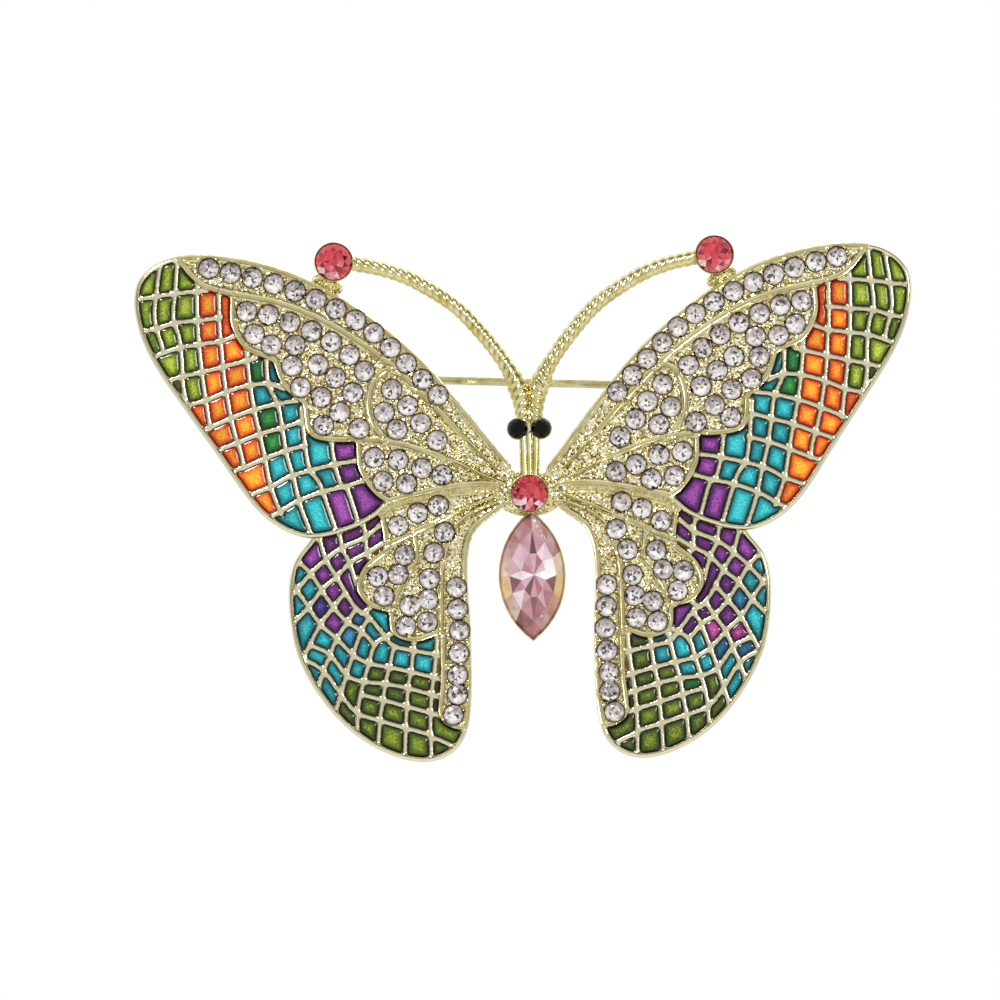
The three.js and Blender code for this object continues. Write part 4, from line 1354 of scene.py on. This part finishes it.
def wings():
    for side in SIDES:
        fore = Wing(side, "forewing", FORE, FORE_WALLS, FORE_RIBS, ["a", "b", "c", "d"])
        hind = Wing(side, "hindwing", HIND, HIND_WALLS, HIND_RIBS, ["e", "f_outer", "f_inner", "g"], fore)
        for wing in (fore, hind):
            across, up, points = grid_over(wing.outline)
            field = wing.lattice(points)
            cast(wing, across, up, field)
            enamel(wing, across, up, field)
            pave(wing)


def hardware():
    """Pin, joint and catch, as the CAD has them, with softened edges."""
    for node, material in PIN_PARTS.items():
        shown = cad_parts[node]
        shown.data.materials.clear()
        shown.data.materials.append(material)
        edges = shown.modifiers.new("softened", "BEVEL")
        edges.width = 0.06 * MM
        edges.segments = 2
        edges.limit_method = "ANGLE"
        edges.angle_limit = math.radians(40)
        shown.data.shade_smooth()


def solder(node):
    """The low round pad of solder under a fitting's base, on the back of the forewing."""
    low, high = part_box(node)
    radius = math.hypot(high.x - low.x, high.z - low.z) / 2 / MM + 0.1
    loop = ring(centre_of(node), radius, 48)
    points, faces = triangulate([loop], staggered(inset(loop, 0.2), 0.4))
    faces = face_forward(points, faces)
    level = FORE["back"] + HOLLOW
    places, polygons = slab(points, faces, np.full(len(points), level + 0.1), [range(len(loop))], level - 0.24)
    make_object(f"solder_{node}", places, polygons, GOLD)


def studio():
    """White surroundings, brightest behind the brooch, with soft lamps in front."""
    world = bpy.data.worlds.new("studio")
    bpy.context.scene.world = world
    tree = Tree(world)
    place = tree.nodes.new("ShaderNodeTexCoord")
    split = tree.nodes.new("ShaderNodeSeparateXYZ")
    tree.link(place.outputs["Generated"], split.inputs["Vector"])
    spread = tree.nodes.new("ShaderNodeMapRange")
    spread.inputs["From Min"].default_value = -1.0
    spread.inputs["From Max"].default_value = 1.0
    tree.link(split.outputs["Y"], spread.inputs["Value"])
    tree.link(tree.ramp(spread.outputs["Result"], SURROUNDINGS), tree.nodes["Background"].inputs["Color"])
    tree.nodes["Background"].inputs["Strength"].default_value = 1.0
    for name, place, size, power in LAMPS:
        light = bpy.data.lights.new(name, "AREA")
        light.size = size
        light.energy = power
        lamp = bpy.data.objects.new(name, light)
        lamp.location = place
        lamp.rotation_euler = (-Vector(place)).to_track_quat("-Z", "Y").to_euler()
        bpy.context.scene.collection.objects.link(lamp)


def floor():
    """A plain pale floor, far enough below to stay out of the straight view."""
    mesh = bpy.data.meshes.new("floor")
    signs = [(-1, -1), (1, -1), (1, 1), (-1, 1)]
    corners = [(across * FLOOR_HALF, away * FLOOR_HALF, FLOOR_LEVEL) for across, away in signs]
    mesh.from_pydata(corners, [], [(0, 1, 2, 3)])
    material, tree = new_material("paler_metal_and_highlight_floor")
    tree.shader(Base_Color=tree.ramp(tree.noise(80), [(0.3, "#e9e9e7"), (0.7, "#ececea")]))
    mesh.materials.append(material)
    made = bpy.data.objects.new("floor", mesh)
    bpy.context.scene.collection.objects.link(made)


def camera():
    """A long lens straight in front; the brooch is turned a little in the picture."""
    data = bpy.data.cameras.new("camera")
    data.sensor_width = 36
    data.lens = CAMERA_LENS
    made = bpy.data.objects.new("camera", data)
    made.location = [part * MM for part in CAMERA_PLACE]
    upright = Matrix.Rotation(math.radians(90), 4, "X")
    made.rotation_euler = (upright @ Matrix.Rotation(-WING_TURN, 4, "Z")).to_euler()
    data.clip_start, data.clip_end = 0.01, 20
    bpy.context.scene.collection.objects.link(made)
    bpy.context.scene.camera = made


wings()
for side in SIDES:
    antenna(side)
body()
marquise()
marquise_setting()
hardware()
for fitting in ("joint_bracket", "catch_base"):
    solder(fitting)
studio()
floor()
camera()
bpy.context.scene.view_settings.view_transform = "Standard"
